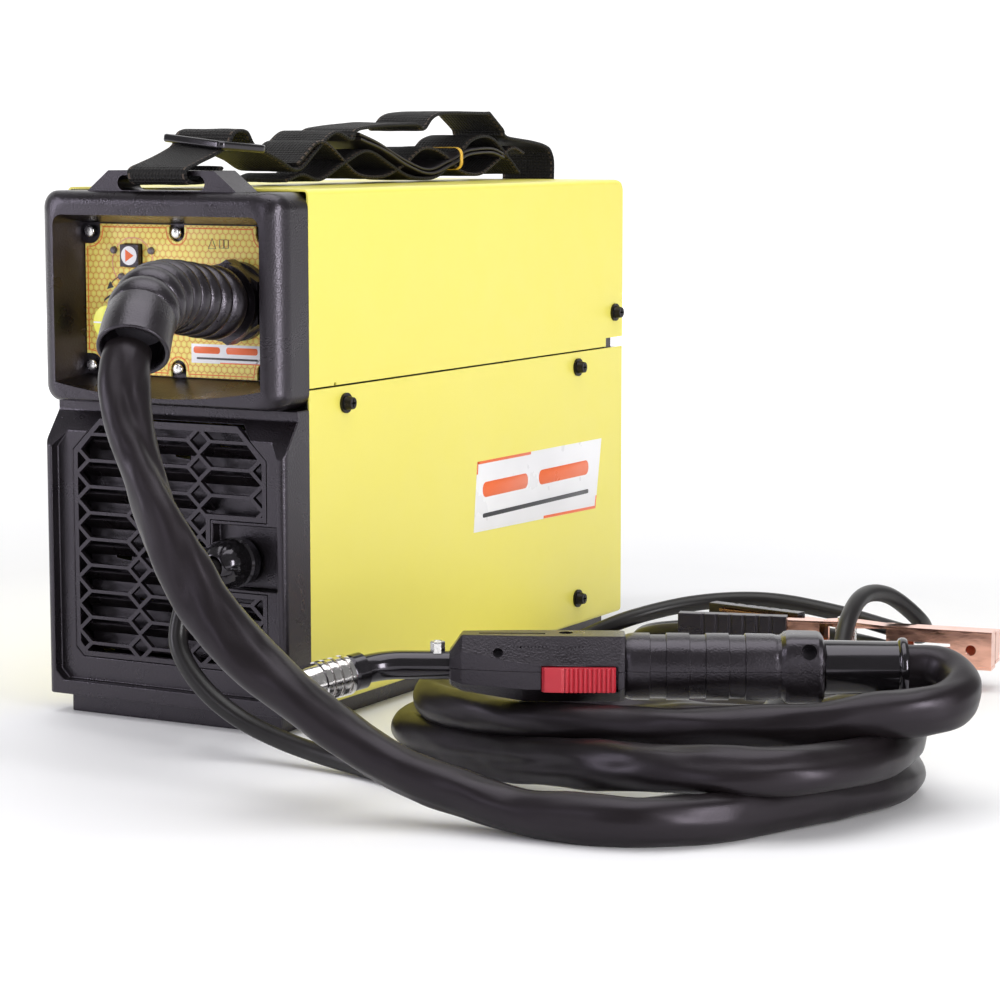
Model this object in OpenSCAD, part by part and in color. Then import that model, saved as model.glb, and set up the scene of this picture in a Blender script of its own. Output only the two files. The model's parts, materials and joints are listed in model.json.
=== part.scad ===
// Portable MIG welding machine: a steel case with a moulded black front, a wire feeder and
// spool under a hinged upper cover, a hand torch on a sleeved cable and an earth clamp.
// +Z is up, the front faces -Y, and the origin is on the floor under the middle of the case.

/* [Case] */
// Width of the steel case
case_w = 156; // [156:1:160]
// Length of the steel case from its front edge to its rear edge
case_l = 370; // [368:1:376]
// Height of the top of the upper cover above the floor
case_top = 288; // [288:1:292]
// Height of the case floor above the ground
case_bottom = 11; // [10:1:12]
// Height of the seam between the lower and upper covers
seam_z = 183; // [182:1:184]
// Sheet steel thickness
sheet_t = 1.2; // [1:0.1:1.5]

/* [Front] */
// How far the lower front housing stands ahead of the case
housing_d = 25.3; // [24:0.1:27]
// How far the upper bezel stands ahead of the case
bezel_d = 29.3; // [28:0.1:31]
// Distance of the control panel ahead of the case
panel_d = 8; // [7:0.5:9]
// Height of one row of the grille
grille_row = 14.4; // [14:0.1:14.6]
// Width of one column of the grille
grille_col = 40; // [39:0.5:40]
// Width of a rib of the grille
rib_w = 1.8; // [1.4:0.1:2.2]

/* [Feeder and spool] */
// Outer radius of the wire spool
spool_r = 50; // [46:1:50]
// Width of the wire spool
spool_w = 45; // [42:1:45]
// Radius of the spool hub shaft
hub_r = 8; // [7:0.5:9]
// Radius of the drive roll
drive_r = 15; // [14:0.5:15]
// Radius of the pressure roll
pressure_r = 11; // [10:0.5:11]
// Opening angle of the upper cover
cover_open = 70; // [0:1:70]

/* [Torch and clamp] */
// Length of the torch handle
handle_l = 180; // [176:1:184]
// Radius of the torch handle
handle_r = 16; // [15:0.5:16.5]
// Radius of the torch neck
neck_r = 7; // [6.5:0.5:7.5]
// Bend of the torch neck
neck_bend = 40; // [35:1:45]
// Outer radius of the gas nozzle
nozzle_r = 10; // [9:0.5:10]
// Length of a jaw of the earth clamp from its pin
jaw_l = 88; // [84:1:90]

/* [Cables] */
// Diameter of the sleeved torch cable
torch_cable_d = 20; // [19:0.5:22]
// Diameter of the earth cable
earth_cable_d = 10; // [9:0.5:10]

/* [Hidden] */
$fn = 48;

half_w = case_w / 2;
front_y = -case_l / 2;
rear_y = case_l / 2;
housing_y = front_y - housing_d;
bezel_y = front_y - bezel_d;
panel_y = front_y - panel_d;
in_w = half_w - sheet_t;
cover_gap = 1;

// Hinge of the upper cover
hinge_y = 173.6;
hinge_z = 204.6;
// Feeder centre lines
wire_x = 40;
wire_z = 229;
wire_r = 0.45;
roll_y = -95;
deck_z = 166;
spool_y = 92;
spool_z = 226;
spool_x = 14;
winding_r = 42;
arm_y = -60;
arm_z = 245;
divider_x = 3;
// Torch and clamp frames
torch_at = [212.5, -271.3, 62];
torch_turn = 27;
clamp_at = [272, 90, 24];
clamp_turn = 8;

// Places of the case screws on the right side: [y, z]
screw_places = [[-149.5, 173.3], [122.6, 173.3], [123.4, 28.2]];

// Route of the torch cable from the bend relief to the tail of the torch
TORCH_ROUTE = [[68.2, -331.4, 212.6], [70.8, -337.6, 205.5], [75, -344, 192.5], [82, -349, 174],
    [93, -354, 154], [105, -358, 135], [117, -360, 118], [128, -360, 101], [142, -359, 86],
    [158, -357, 71], [176, -353, 57], [197, -347, 42], [220, -342, 29], [248, -338, 19],
    [280, -336, 12], [314, -335, 11], [344, -327, 11], [368, -303, 11], [386, -270, 11],
    [401, -236, 11], [410, -200, 11], [404, -164, 11], [380, -136, 11], [342, -120, 11],
    [295, -111, 11], [245, -109, 11], [198, -118, 11], [162, -140, 11], [144, -172, 12],
    [153, -205, 12], [184, -229, 13], [228, -252, 15], [267, -272, 20], [310, -288, 26],
    [350, -294, 30], [386, -285, 31], [408, -260, 31], [416, -224, 30], [411, -184, 30],
    [393, -148, 31], [361, -113, 25], [322, -90, 11], [274, -81, 11], [230, -83, 14],
    [196, -91, 21], [173, -112, 28], [160, -142, 32], [156, -176, 33], [166, -208, 33],
    [191, -232, 33.5], [230, -249, 34.5], [282, -259, 37], [336, -256, 40], [384, -242, 44],
    [411, -227, 48], [430, -213, 49.5], [440, -200, 52], [441, -187, 55], [435, -175, 59],
    [423, -169, 61.5], [409, -171.2, 62], [400, -175.6, 62]];
// Route of the earth cable from its gland to the lug in the clamp
EARTH_ROUTE = [[43.5, -220, 91.5], [43.5, -234, 89.5], [43, -246, 82], [42.5, -254, 70], [44, -259, 57],
    [52, -262, 45], [66, -263, 32], [84, -262, 21], [106, -262, 13.5], [130, -263, 8.5],
    [158, -267, 5.5], [190, -278, 5], [226, -292, 5], [262, -300, 5], [296, -296, 5],
    [322, -276, 5], [334, -244, 5], [332, -208, 6], [327, -172, 14], [322, -138, 25],
    [318, -105, 28], [315, -75, 27], [310, -40, 12], [301, -8, 8], [294, 24, 22],
    [287, 56, 42], [284, 88, 51], [288, 120, 46], [297, 148, 27], [288, 170, 15],
    [264, 182, 16], [226, 186, 22], [182, 180, 27], [144, 162, 25], [114, 134, 18],
    [98, 100, 10], [98, 66, 6], [120, 40, 5], [158, 25, 5], [204, 22, 5], [250, 32, 5],
    [292, 50, 5], [326, 76, 5], [338, 110, 5], [318, 142, 5], [284, 160, 5], [252, 180, 5],
    [212, 198, 5], [168, 198, 5], [130, 182, 5], [113, 158, 5], [118, 130, 5], [130, 104, 8],
    [144, 84, 16], [166, 75, 22], [192, 77, 24], [222, 82, 24.2], [250, 86, 24]];

// ---------- helpers ----------

// 2D rectangle from [x0, y0] to [x1, y1] with rounded corners
module rounded(x0, y0, x1, y1, r) {
    translate([x0 + r, y0]) square([x1 - x0 - 2 * r, y1 - y0]);
    translate([x0, y0 + r]) square([x1 - x0, y1 - y0 - 2 * r]);
    for (x = [x0 + r, x1 - r], y = [y0 + r, y1 - r]) translate([x, y]) circle(r = r);
}

// 2D profile drawn in x and z, made solid from y0 to y1
module along_y(y0, y1) {
    translate([0, y1, 0]) rotate([90, 0, 0]) linear_extrude(y1 - y0) children();
}

// 2D profile drawn in y and z, made solid from x0 to x1
module along_x(x0, x1) {
    translate([x0, 0, 0]) rotate([90, 0, 90]) linear_extrude(x1 - x0) children();
}

// Box between two corners
module block(a, b) {
    translate(a) cube(b - a);
}

// Cylinder along +X, +Y
module rod_x(x0, x1, y, z, r) {
    translate([x0, y, z]) rotate([0, 90, 0]) cylinder(r = r, h = x1 - x0);
}
module rod_y(y0, y1, x, z, r) {
    translate([x, y0, z]) rotate([-90, 0, 0]) cylinder(r = r, h = y1 - y0);
}

module both_sides() {
    children();
    mirror([1, 0, 0]) children();
}

function unit(v) = v / norm(v);
// Ring of points round a centre, square to a direction
function ring(at, dir, r, sides) = let(side = unit(cross(dir, abs(dir[2]) > 0.9 ? [0, 1, 0]
    : [0, 0, 1])), up = cross(side, dir))
    [for (k = [0:sides - 1]) at + r * (cos(360 * k / sides) * side + sin(360 * k / sides) * up)];
// A tube through points: one polyhedron
module tube(points, radii, sides = 10) {
    last = len(points) - 1;
    rings = [for (i = [0:last]) ring(points[i],
        unit(points[min(i + 1, last)] - points[max(i - 1, 0)]), radii[i], sides)];
    flat = [for (r = rings) for (p = r) p];
    ends = [[for (k = [0:sides - 1]) k], [for (k = [sides - 1:-1:0]) last * sides + k]];
    walls = [for (i = [0:last - 1], k = [0:sides - 1]) let(n = (k + 1) % sides)
        each [[i * sides + k, (i + 1) * sides + k, (i + 1) * sides + n],
              [i * sides + k, (i + 1) * sides + n, i * sides + n]]];
    polyhedron(points = flat, faces = concat(ends, walls), convexity = 8);
}
module route_tube(route, d, sides = 10) {
    tube(route, [for (p = route) d / 2], sides);
}

module in_torch() {
    translate(torch_at) rotate([0, 0, torch_turn]) children();
}
module in_clamp() {
    translate(clamp_at) rotate([0, 0, clamp_turn]) rotate([-90, 0, 0]) children();
}

// ---------- base and covers ----------

// Plinth that the machine stands on: one frame of four bars
module base_skid() {
    color("#1b1b1d") difference() {
        block([-69, -201, 0], [69, 176, case_bottom]);
        block([-47, -179, -1], [47, 154, case_bottom + 1]);
    }
}

// Lower cover: sheet steel floor and sides
module lower_cover() {
    color("#e9dd3c") difference() {
        along_y(front_y, rear_y) difference() {
            union() {
                rounded(-half_w, case_bottom, half_w, seam_z - 20, 3);
                translate([-half_w, seam_z - 40]) square([case_w, 40 - cover_gap / 2]);
            }
            translate([-in_w, case_bottom + sheet_t]) square([2 * in_w, seam_z]);
        }
        both_sides() for (s = screw_places) rod_x(in_w - 1, half_w + 1, s[0], s[1], 2.7);
    }
}

// Solid outline of the upper cover, or of the room inside it when inset by the sheet
module cover_solid(inset, rear, floor_z) {
    intersection() {
        along_y(front_y + 0.3 - (inset > 0 ? 1 : 0), rear) {
            rounded(-half_w + inset, seam_z + 20, half_w - inset, case_top - inset, 3 - inset);
            translate([-half_w + inset, floor_z]) square([case_w - 2 * inset, 60]);
        }
        along_x(-half_w, half_w) {
            translate([front_y - 2, floor_z]) square([rear - front_y + 2, 60]);
            rounded(front_y - 2, seam_z + 20, rear, case_top - inset, 8 - inset);
            translate([front_y - 2, seam_z + 20]) square([40, case_top - inset - seam_z - 20]);
        }
    }
}
// Upper cover: sheet steel top and sides with a short lip at the rear, hinged at the rear
module upper_cover() {
    color("#e9dd3c") difference() {
        cover_solid(0, rear_y, seam_z + cover_gap / 2);
        cover_solid(sheet_t, rear_y - sheet_t, seam_z - 1);
        block([-in_w, 100, seam_z - 1], [in_w, rear_y + 1, 279]);
        both_sides() rod_x(in_w - 1, half_w + 1, hinge_y, hinge_z, 2.58);
        // the rear lower corner is cut back so that it clears the lower cover as it turns
        block([-half_w - 1, 162, seam_z - 1], [half_w + 1, rear_y + 1, 188.8]);
        // small locating notch at the front
        both_sides() rod_x(in_w - 1, half_w + 1, -159.4, seam_z + 1.2, 1.1);
    }
}

// ---------- front ----------

recess_x = 73;
window_x = 63;
notch_x = 27;
notch_low = 75;
notch_high = 113;
gland_z = 91.5;
gland_x = 43.5;

module housing_profile() {
    polygon([[housing_y, case_bottom], [housing_y, 148], [housing_y + 14, 167], [housing_y + 14, 172.5],
        [front_y, 172.5], [front_y, case_bottom]]);
}
module chamfered(x, low, shoulder, top, inset) {
    polygon([[-x, low + 5], [-x + 5, low], [x - 5, low], [x, low + 5], [x, shoulder],
        [x - inset, top], [-x + inset, top], [-x, shoulder]]);
}
// Lower front housing: moulded frame round the grille, with a pocket for the earth gland
module front_housing() {
    color("#1f1c20") difference() {
        intersection() {
            along_x(-half_w, half_w) housing_profile();
            translate([0, 0, case_bottom]) linear_extrude(200)
                rounded(-half_w, housing_y, half_w, front_y + 10, 4);
        }
        along_y(housing_y - 1, housing_y + 6) chamfered(recess_x, 19, 148, 168.6, 17);
        difference() {
            along_y(housing_y - 1, front_y + 1) chamfered(window_x, 32, 146, 164, 18);
            block([notch_x, housing_y - 2, notch_low], [80, front_y + 2, notch_high]);
        }
        block([notch_x + 1.6, housing_y - 2, notch_low + 2],
            [recess_x, housing_y + 13, notch_high - 2]);
        rod_y(housing_y, front_y + 1, gland_x, gland_z, 8.1);
    }
}

cell_w = grille_col - rib_w;
cell_h = grille_row - rib_w;
module hex_cell() {
    polygon([[-cell_w / 2, 0], [-cell_w / 2 + 7, cell_h / 2], [cell_w / 2 - 7, cell_h / 2],
        [cell_w / 2, 0], [cell_w / 2 - 7, -cell_h / 2], [-cell_w / 2 + 7, -cell_h / 2]]);
}
module diamond_cell() {
    polygon([[-5.6, 0], [0, 5.2], [5.6, 0], [0, -5.2]]);
}
grille_rows = 8;
grille_low = 46.9;
// Front grille: long hexagons with diamonds between them, and slanted louvres behind
module front_grille() {
    plate_y = housing_y + 6.2;
    color("#161416") {
        along_y(plate_y, plate_y + 3) difference() {
            chamfered(window_x - 0.3, 32.3, 146, 163.7, 18);
            intersection() {
                chamfered(window_x - 3, 35, 144, 160, 15);
                union() {
                    for (row = [-1:grille_rows], col = [-1:1])
                        translate([col * grille_col, grille_low + row * grille_row]) hex_cell();
                    for (row = [-1:grille_rows], col = [-1.5:1:1.5])
                        translate([col * grille_col, grille_low + (row + 0.5) * grille_row])
                            diamond_cell();
                }
            }
            translate([notch_x - 3, notch_low - 3]) square([60, notch_high - notch_low + 6]);
        }
        // solid border round the notch
        along_y(plate_y, plate_y + 3) difference() {
            translate([notch_x - 3, notch_low - 3])
                square([window_x - notch_x + 2.7, notch_high - notch_low + 6]);
            translate([notch_x - 0.3, notch_low - 0.3])
                square([60, notch_high - notch_low + 0.6]);
        }
        for (row = [0:grille_rows - 1]) {
            z = grille_low + row * grille_row;
            beside_notch = z > notch_low - 12 && z < notch_high + 8;
            left = z > 140 ? window_x - 12 : window_x - 3;
            right = beside_notch ? notch_x - 3 : left;
            translate([-left, plate_y + 2.5, z + 3.4]) rotate([-40, 0, 0])
                cube([right + left, 9, 1.2]);
        }
    }
}

open_x = 66.5;
seat_x = 61.2;
seat_low = 186.8;
seat_high = 269.2;
bezel_low = 173;
bezel_top = 286.6;
// Front opening of the bezel: its lower edge is bowed down in the middle
module bezel_mouth() {
    polygon(concat([for (x = [-open_x:open_x / 6:open_x]) [x, 177 + 6.5 * pow(x / open_x, 2)]],
        [for (a = [0:30:90]) [open_x - 6 + 6 * cos(a), 268 + 6 * sin(a)]],
        [for (a = [90:30:180]) [-open_x + 6 + 6 * cos(a), 268 + 6 * sin(a)]]));
}
// Upper bezel: deep moulded frame round the control panel
module front_bezel() {
    color("#252126") difference() {
        intersection() {
            along_y(bezel_y, front_y) rounded(-half_w, bezel_low, half_w, bezel_top, 9);
            translate([0, 0, bezel_low - 10]) linear_extrude(200)
                rounded(-half_w, bezel_y, half_w, front_y + 30, 13);
            along_x(-half_w, half_w) rounded(bezel_y, bezel_low, front_y + 30, bezel_top, 7);
        }
        hull() {
            along_y(bezel_y - 0.5, bezel_y + 0.5) bezel_mouth();
            block([-seat_x, panel_y - 1, seat_low], [seat_x, panel_y, seat_high]);
        }
        block([-seat_x, panel_y - 0.5, seat_low], [seat_x, panel_y + 2.1, seat_high]);
        block([-54, panel_y, 197], [54, front_y + 1, 259]);
        for (s = panel_screw_places) rod_y(panel_y, panel_y + 7, s[0], s[1], 1.55);
    }
}

// Bridge that the shoulder strap loops through, on the bezel, and its partner at the rear
module lug_outline() {
    difference() {
        polygon([[-48, 0], [-34, 11], [34, 11], [48, 0]]);
        translate([-24, 4.4]) circle(r = 4);
        translate([24, 4.4]) circle(r = 4);
        translate([-24, 0.4]) square([48, 8]);
    }
}
module strap_lugs() {
    color("#242126") {
        translate([0, 0, bezel_top]) along_y(-207, -187) lug_outline();
        translate([0, 172, 246]) rotate([-90, 0, 0]) along_y(-12, 12) lug_outline();
    }
}

panel_screw_places = [for (x = [-57, 0, 57], z = [191.5, 264.5]) [x, z]];
button_at = [-29, 251.8];
knob_at = [-38, 216];
led_places = [[-41.3, 254.5], [-16.7, 254.5], [-36.4, 240.3], [-21.6, 240.3]];
nut_at = [wire_x, wire_z];
module control_panel() {
    color("#d9a93a") difference() {
        block([-61, panel_y, 187], [61, panel_y + 2, 269]);
        for (s = panel_screw_places) rod_y(panel_y - 1, panel_y + 3, s[0], s[1], 1.7);
        for (s = led_places) rod_y(panel_y - 1, panel_y + 3, s[0], s[1], 2.1);
        block([button_at[0] - 6.3, panel_y - 1, button_at[1] - 6.3],
            [button_at[0] + 6.3, panel_y + 3, button_at[1] + 6.3]);
        rod_y(panel_y - 1, panel_y + 3, knob_at[0], knob_at[1], 3.6);
        rod_y(panel_y - 1, panel_y + 3, nut_at[0], nut_at[1], 13.9);
    }
}
module panel_screws() {
    color("#c9c9cc") for (s = panel_screw_places) {
        rod_y(panel_y, panel_y + 5.5, s[0], s[1], 1.5);
        translate([s[0], panel_y, s[1]]) rotate([90, 0, 0]) difference() {
            cylinder(r1 = 3, r2 = 2.3, h = 1.8);
            for (a = [0, 90]) rotate([0, 0, a]) translate([-1.6, -0.3, 0.9]) cube([3.2, 0.6, 2]);
        }
    }
}
module indicator_leds() {
    color("#8f8a90") for (s = led_places) {
        rod_y(panel_y - 0.4, panel_y + 12.5, s[0], s[1], 1.95);
        translate([s[0], panel_y - 0.4, s[1]]) sphere(r = 1.95);
    }
}
button_travel = 1.2;
module push_button() {
    color("#17171a") {
        block([button_at[0] - 6, panel_y - 3.5, button_at[1] - 6],
            [button_at[0] + 6, panel_y + 6, button_at[1] + 6]);
        rod_y(panel_y + 6, panel_y + 9, button_at[0], button_at[1], 2);
    }
}
module current_knob() {
    color("#dfe04a") {
        rod_y(panel_y - 12, panel_y - 1, knob_at[0], knob_at[1], 9.6);
        rod_y(panel_y - 1.01, panel_y - 0.6, knob_at[0], knob_at[1], 10.4);
        rod_y(panel_y - 0.7, panel_y + 8.9, knob_at[0], knob_at[1], 3);
        block([knob_at[0] - 0.7, panel_y - 12.8, knob_at[1] + 1],
            [knob_at[0] + 0.7, panel_y - 11.9, knob_at[1] + 9]);
    }
}
// Circuit board behind the panel, with the potentiometer body and the switch body
module control_board() {
    color("#2f6b3a") difference() {
        block([-53, panel_y + 13, 198], [2, panel_y + 14.6, 258]);
        rod_y(panel_y + 12, panel_y + 15, knob_at[0], knob_at[1], 2);
    }
    color("#3a3a3c") {
        rod_y(panel_y + 9, panel_y + 13, knob_at[0], knob_at[1], 8);
        block([button_at[0] - 6, panel_y + 10.5, button_at[1] - 6],
            [button_at[0] + 6, panel_y + 13, button_at[1] + 6]);
    }
}

// Hexagonal collar that locks the torch cable into the front panel
module connector_nut() {
    color("#1a181b") difference() {
        union() {
            rod_y(panel_y - 4.5, panel_y - 0.1, nut_at[0], nut_at[1], 21);
            translate([nut_at[0], panel_y - 12.5, nut_at[1]]) rotate([-90, 30, 0])
                cylinder(r = 22.5, h = 8.5, $fn = 6);
            rod_y(panel_y - 16, panel_y - 12.4, nut_at[0], nut_at[1], 20.4);
            rod_y(panel_y - 0.2, panel_y + 16, nut_at[0], nut_at[1], 13.8);
        }
        rod_y(panel_y - 17, panel_y + 17, nut_at[0], nut_at[1], 5);
    }
}
RELIEF_ROUTE = [[40, -209.2, 229], [40, -212, 229], [41, -223, 230], [42, -238, 232], [45, -256, 234.5],
    [49, -275, 236], [54, -293, 235], [59, -308, 231], [64, -321, 223], [68, -331, 213]];
module bend_relief() {
    count = len(RELIEF_ROUTE) - 1;
    color("#1d1a1e") tube(RELIEF_ROUTE, [for (i = [0:count]) 20 - 3 * i / count], 12);
}

// Cable gland of the earth lead, in the pocket of the front housing
module earth_gland() {
    color("#101012") difference() {
        union() {
            rod_y(housing_y + 12, front_y + 6, gland_x, gland_z, 8);
            translate([gland_x, front_y, gland_z]) rotate([-90, 0, 0])
                cylinder(r = 12, h = 4, $fn = 6);
            translate([gland_x, housing_y + 13, gland_z]) rotate([90, 30, 0])
                cylinder(r = 14.2, h = 7, $fn = 6);
            rod_y(housing_y - 3, housing_y + 6.1, gland_x, gland_z, 13);
            translate([gland_x, housing_y - 2.9, gland_z]) rotate([90, 0, 0])
                cylinder(r1 = 13, r2 = 11, h = 9);
            translate([gland_x, housing_y - 11.8, gland_z]) rotate([90, 0, 0])
                cylinder(r1 = 11, r2 = 7.4, h = 4.6);
        }
        rod_y(housing_y - 30, housing_y - 6, gland_x, gland_z, earth_cable_d / 2 + 0.2);
    }
}

// ---------- inside ----------

// Deck over the power bay, folded up at both sides
module feeder_deck() {
    color("#b9bcc0") difference() {
        along_y(front_y + 2, 162) difference() {
            translate([-in_w + 0.1, deck_z]) square([2 * in_w - 0.2, seam_z - deck_z - 1.5]);
            translate([-in_w + 1.6, deck_z + 1.5]) square([2 * in_w - 3.2, 40]);
        }
        both_sides() for (s = [screw_places[0], screw_places[1]])
            rod_x(in_w - 4, in_w + 1, s[0], s[1], 2.45);
    }
}
// Upright sheet between the feeder side and the electronics side
module divider() {
    color("#b9bcc0") difference() {
        block([divider_x, front_y + 4, deck_z + 1.5], [divider_x + 1.5, 162, 280]);
        rod_x(divider_x - 1, divider_x + 3, roll_y, wire_z - drive_r - wire_r, 6.2);
    }
}
module power_tray() {
    color("#b9bcc0") difference() {
        along_y(-150, 145) difference() {
            translate([-in_w + 0.1, case_bottom + sheet_t + 0.1]) square([2 * in_w - 0.2, 26]);
            translate([-in_w + 1.6, case_bottom + sheet_t + 1.6]) square([2 * in_w - 3.2, 40]);
        }
        both_sides() rod_x(in_w - 4, in_w + 1, screw_places[2][0], screw_places[2][1], 2.45);
    }
}
board_z = 26;
module power_board() {
    color("#2f6b3a") block([-66, -110, board_z], [66, 120, board_z + 1.8]);
    color("#c9c9cc") for (x = [-60, 60], y = [-104, 114])
        translate([x, y, case_bottom + sheet_t + 1.6])
            cylinder(r = 3, h = board_z - case_bottom - sheet_t - 1.6);
}
// Two finned aluminium heat sinks
module heat_sinks() {
    color("#c4c6c9") for (x = [10, 44]) {
        block([x, -60, board_z + 1.9], [x + 4, 60, board_z + 72]);
        for (i = [0:7]) block([x + 3.9, -60, board_z + 4 + 9 * i], [x + 22, 60, board_z + 6 + 9 * i]);
    }
}
// Main transformer: ferrite core with a taped winding
module transformer() {
    color("#4a4a4d") difference() {
        block([-58, 10, board_z + 1.9], [-8, 70, board_z + 62]);
        block([-59, 22, board_z + 14], [-7, 34, board_z + 50]);
        block([-59, 46, board_z + 14], [-7, 58, board_z + 50]);
    }
    color("#d8b93c") difference() {
        block([-62, 22.2, board_z + 14.2], [-4, 57.8, board_z + 49.8]);
        block([-58.2, 33.8, board_z + 14], [-7.8, 46.2, board_z + 51]);
    }
}
module capacitors() {
    color("#2a2f45") for (x = [-48, -20], y = [-84, -48])
        translate([x, y, board_z + 1.9]) {
            cylinder(r = 12.5, h = 50);
            translate([0, 0, 49.9]) cylinder(r = 11.5, h = 1);
        }
}

fan_z = 84;
fan_y = 156;
fan_r = 43;
module fan_frame() {
    color("#1b1b1d") {
        difference() {
            block([-46, fan_y, fan_z - 46], [46, fan_y + 25, fan_z + 46]);
            rod_y(fan_y - 1, fan_y + 26, 0, fan_z, fan_r + 1);
            for (x = [-41, 41], z = [-41, 41]) rod_y(fan_y - 1, fan_y + 26, x, fan_z + z, 2.2);
        }
        difference() {
            union() {
                rod_y(fan_y + 20, fan_y + 25, 0, fan_z, 17);
                for (a = [45:90:315]) translate([0, fan_y + 22, fan_z]) rotate([0, a, 0])
                    block([14, -0.6, -2], [fan_r + 2.5, 2.6, 2]);
            }
            rod_y(fan_y + 19, fan_y + 24, 0, fan_z, 3.05);
        }
    }
}
module fan_rotor() {
    color("#28282b") {
        difference() {
            rod_y(fan_y + 2, fan_y + 19, 0, fan_z, 17);
            rod_y(fan_y + 1, fan_y + 4, 0, fan_z, 13);
        }
        rod_y(fan_y + 18, fan_y + 23.5, 0, fan_z, 3);
        for (a = [0:360 / 7:359]) translate([0, fan_y + 10.5, fan_z]) rotate([0, a, 0])
            translate([16, 0, 0]) rotate([35, 0, 0]) block([0, -1, -9], [25.5, 1, 9]);
    }
}

// Rear panel: stepped moulding; its upper part stands inside the hinged cover
module rear_panel() {
    color("#1f1d20") difference() {
        union() {
            block([-in_w + 0.2, 181, case_bottom + sheet_t + 0.2], [in_w - 0.2, 184.5, seam_z - 1]);
            block([-in_w + 0.2, 168.5, seam_z - 4], [in_w - 0.2, 184.5, seam_z - 1]);
            block([-in_w + 1, 168.5, seam_z - 3], [in_w - 1, 172, 283]);
            both_sides() {
                block([in_w - 9, 163, seam_z - 4], [in_w - 0.5, 172, 214]);
                rod_x(in_w - 9, in_w - 0.5, hinge_y - 5, hinge_z, 9);
            }
        }
        both_sides() rod_x(in_w - 12, in_w + 2, hinge_y, hinge_z, 2.55);
        rod_y(180, 186, 0, fan_z, 42);
        block([-62.2, 167, 199.8], [-47.8, 173, 222.2]);
        rod_y(180, 186, 52, 152, 8.1);
        rod_y(180, 186, -52, 152, 5.1);
    }
}
// Barrel-shaped guard over the fan
module rear_grille() {
    color("#151416") difference() {
        along_x(-74, 74) polygon(concat([[184.7, fan_z + 48], [184.7, fan_z - 44]],
            [for (h = [-46:11.5:46]) [186 + 5.5 * (1 - pow(h / 46, 2)), fan_z + 2 + h]]));
        for (i = [-5:5]) block([-58 + abs(i) * 3, 183, fan_z + 2 + i * 7 - 2.2],
            [58 - abs(i) * 3, 200, fan_z + 2 + i * 7 + 2.2]);
    }
}
switch_x = -55;
switch_z = 211;
module power_switch() {
    color("#1a1a1c") difference() {
        translate([0, 171.5, switch_z]) along_x(switch_x - 5.5, switch_x + 5.5)
            polygon([[-5, -3], [-5, 3], [0.5, 9], [4.5, 9.4], [3.4, 0], [6.5, -9], [0.5, -9.4]]);
        rod_x(switch_x - 8, switch_x + 8, 171.5, switch_z, 1.55);
    }
}
module mains_gland() {
    color("#101012") difference() {
        union() {
            rod_y(176, 186, 52, 152, 8);
            translate([52, 184.6, 152]) rotate([-90, 0, 0]) cylinder(r = 13, h = 6, $fn = 6);
            translate([52, 190.5, 152]) rotate([-90, 0, 0]) cylinder(r1 = 12, r2 = 9, h = 12);
            translate([52, 176.5, 152]) rotate([-90, 0, 0]) cylinder(r = 12, h = 4.4, $fn = 6);
        }
        rod_y(170, 204, 52, 152, 4.5);
    }
}
gas_r = 4;
gas_l = 16;
module gas_inlet() {
    color("#b8923a") difference() {
        union() {
            rod_y(174, 186, -52, 152, 5);
            translate([-52, 184.6, 152]) rotate([-90, 0, 0]) cylinder(r = 8, h = 5, $fn = 6);
            translate([-52, 176.5, 152]) rotate([-90, 0, 0]) cylinder(r = 8, h = 4.4, $fn = 6);
            rod_y(189.5, 189.6 + gas_l, -52, 152, gas_r);
        }
        rod_y(172, 208, -52, 152, 2);
    }
}
// Flanged screws of the covers; the rear pair are the hinge pins of the upper cover
module cover_screws() {
    places = concat([for (s = screw_places) [s[0], s[1], 2.4]], [[hinge_y, hinge_z, 2.5]]);
    color("#232125") both_sides() for (s = places) {
        rod_x(in_w - 6, half_w + 0.2, s[0], s[1], s[2]);
        rod_x(half_w + 0.1, half_w + 1.5, s[0], s[1], 5.5);
        difference() {
            translate([half_w + 1.4, s[0], s[1]]) rotate([0, 90, 0])
                cylinder(r1 = 4, r2 = 3.2, h = 4);
            for (a = [0, 90]) translate([half_w + 3.6, s[0], s[1]]) rotate([a, 0, 0])
                block([0, -2.2, -0.45], [3, 2.2, 0.45]);
        }
    }
}

// ---------- wire feeder ----------

drive_z = wire_z - drive_r - wire_r + 0.4;
pressure_z = wire_z + pressure_r + wire_r + 0.1;
plate_x = 30;
module feed_motor() {
    color("#77797d") {
        rod_x(divider_x - 62, divider_x - 12, roll_y, drive_z, 20);
        block([divider_x - 12.1, roll_y - 24, drive_z - 22], [divider_x - 0.1, roll_y + 24, drive_z + 22]);
        rod_x(divider_x - 68, divider_x - 61.9, roll_y, drive_z, 7);
    }
    color("#c9c9cc") rod_x(divider_x - 0.2, plate_x + 19, roll_y, drive_z, 4);
}
module feed_plate() {
    color("#2b2b2e") difference() {
        block([divider_x + 1.6, -142, 188], [plate_x, -44, 262]);
        rod_x(divider_x, plate_x + 1, roll_y, drive_z, 4.6);
    }
    color("#c9c9cc") rod_x(plate_x - 6, plate_x + 5.6, arm_y, arm_z + 6, 2.95);
}
module wire_guides() {
    color("#b8923a") difference() {
        union() {
            rod_y(-66, -38, wire_x, wire_z, 3);
            block([plate_x + 0.02, -58, wire_z - 8], [plate_x + 16, -48, wire_z + 5]);
            rod_y(-176.5, -110, wire_x, wire_z, 3);
            block([plate_x + 0.02, -142, wire_z - 8], [plate_x + 16, -128, wire_z + 5]);
        }
        rod_y(-200, -20, wire_x, wire_z, 0.9);
    }
}
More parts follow.
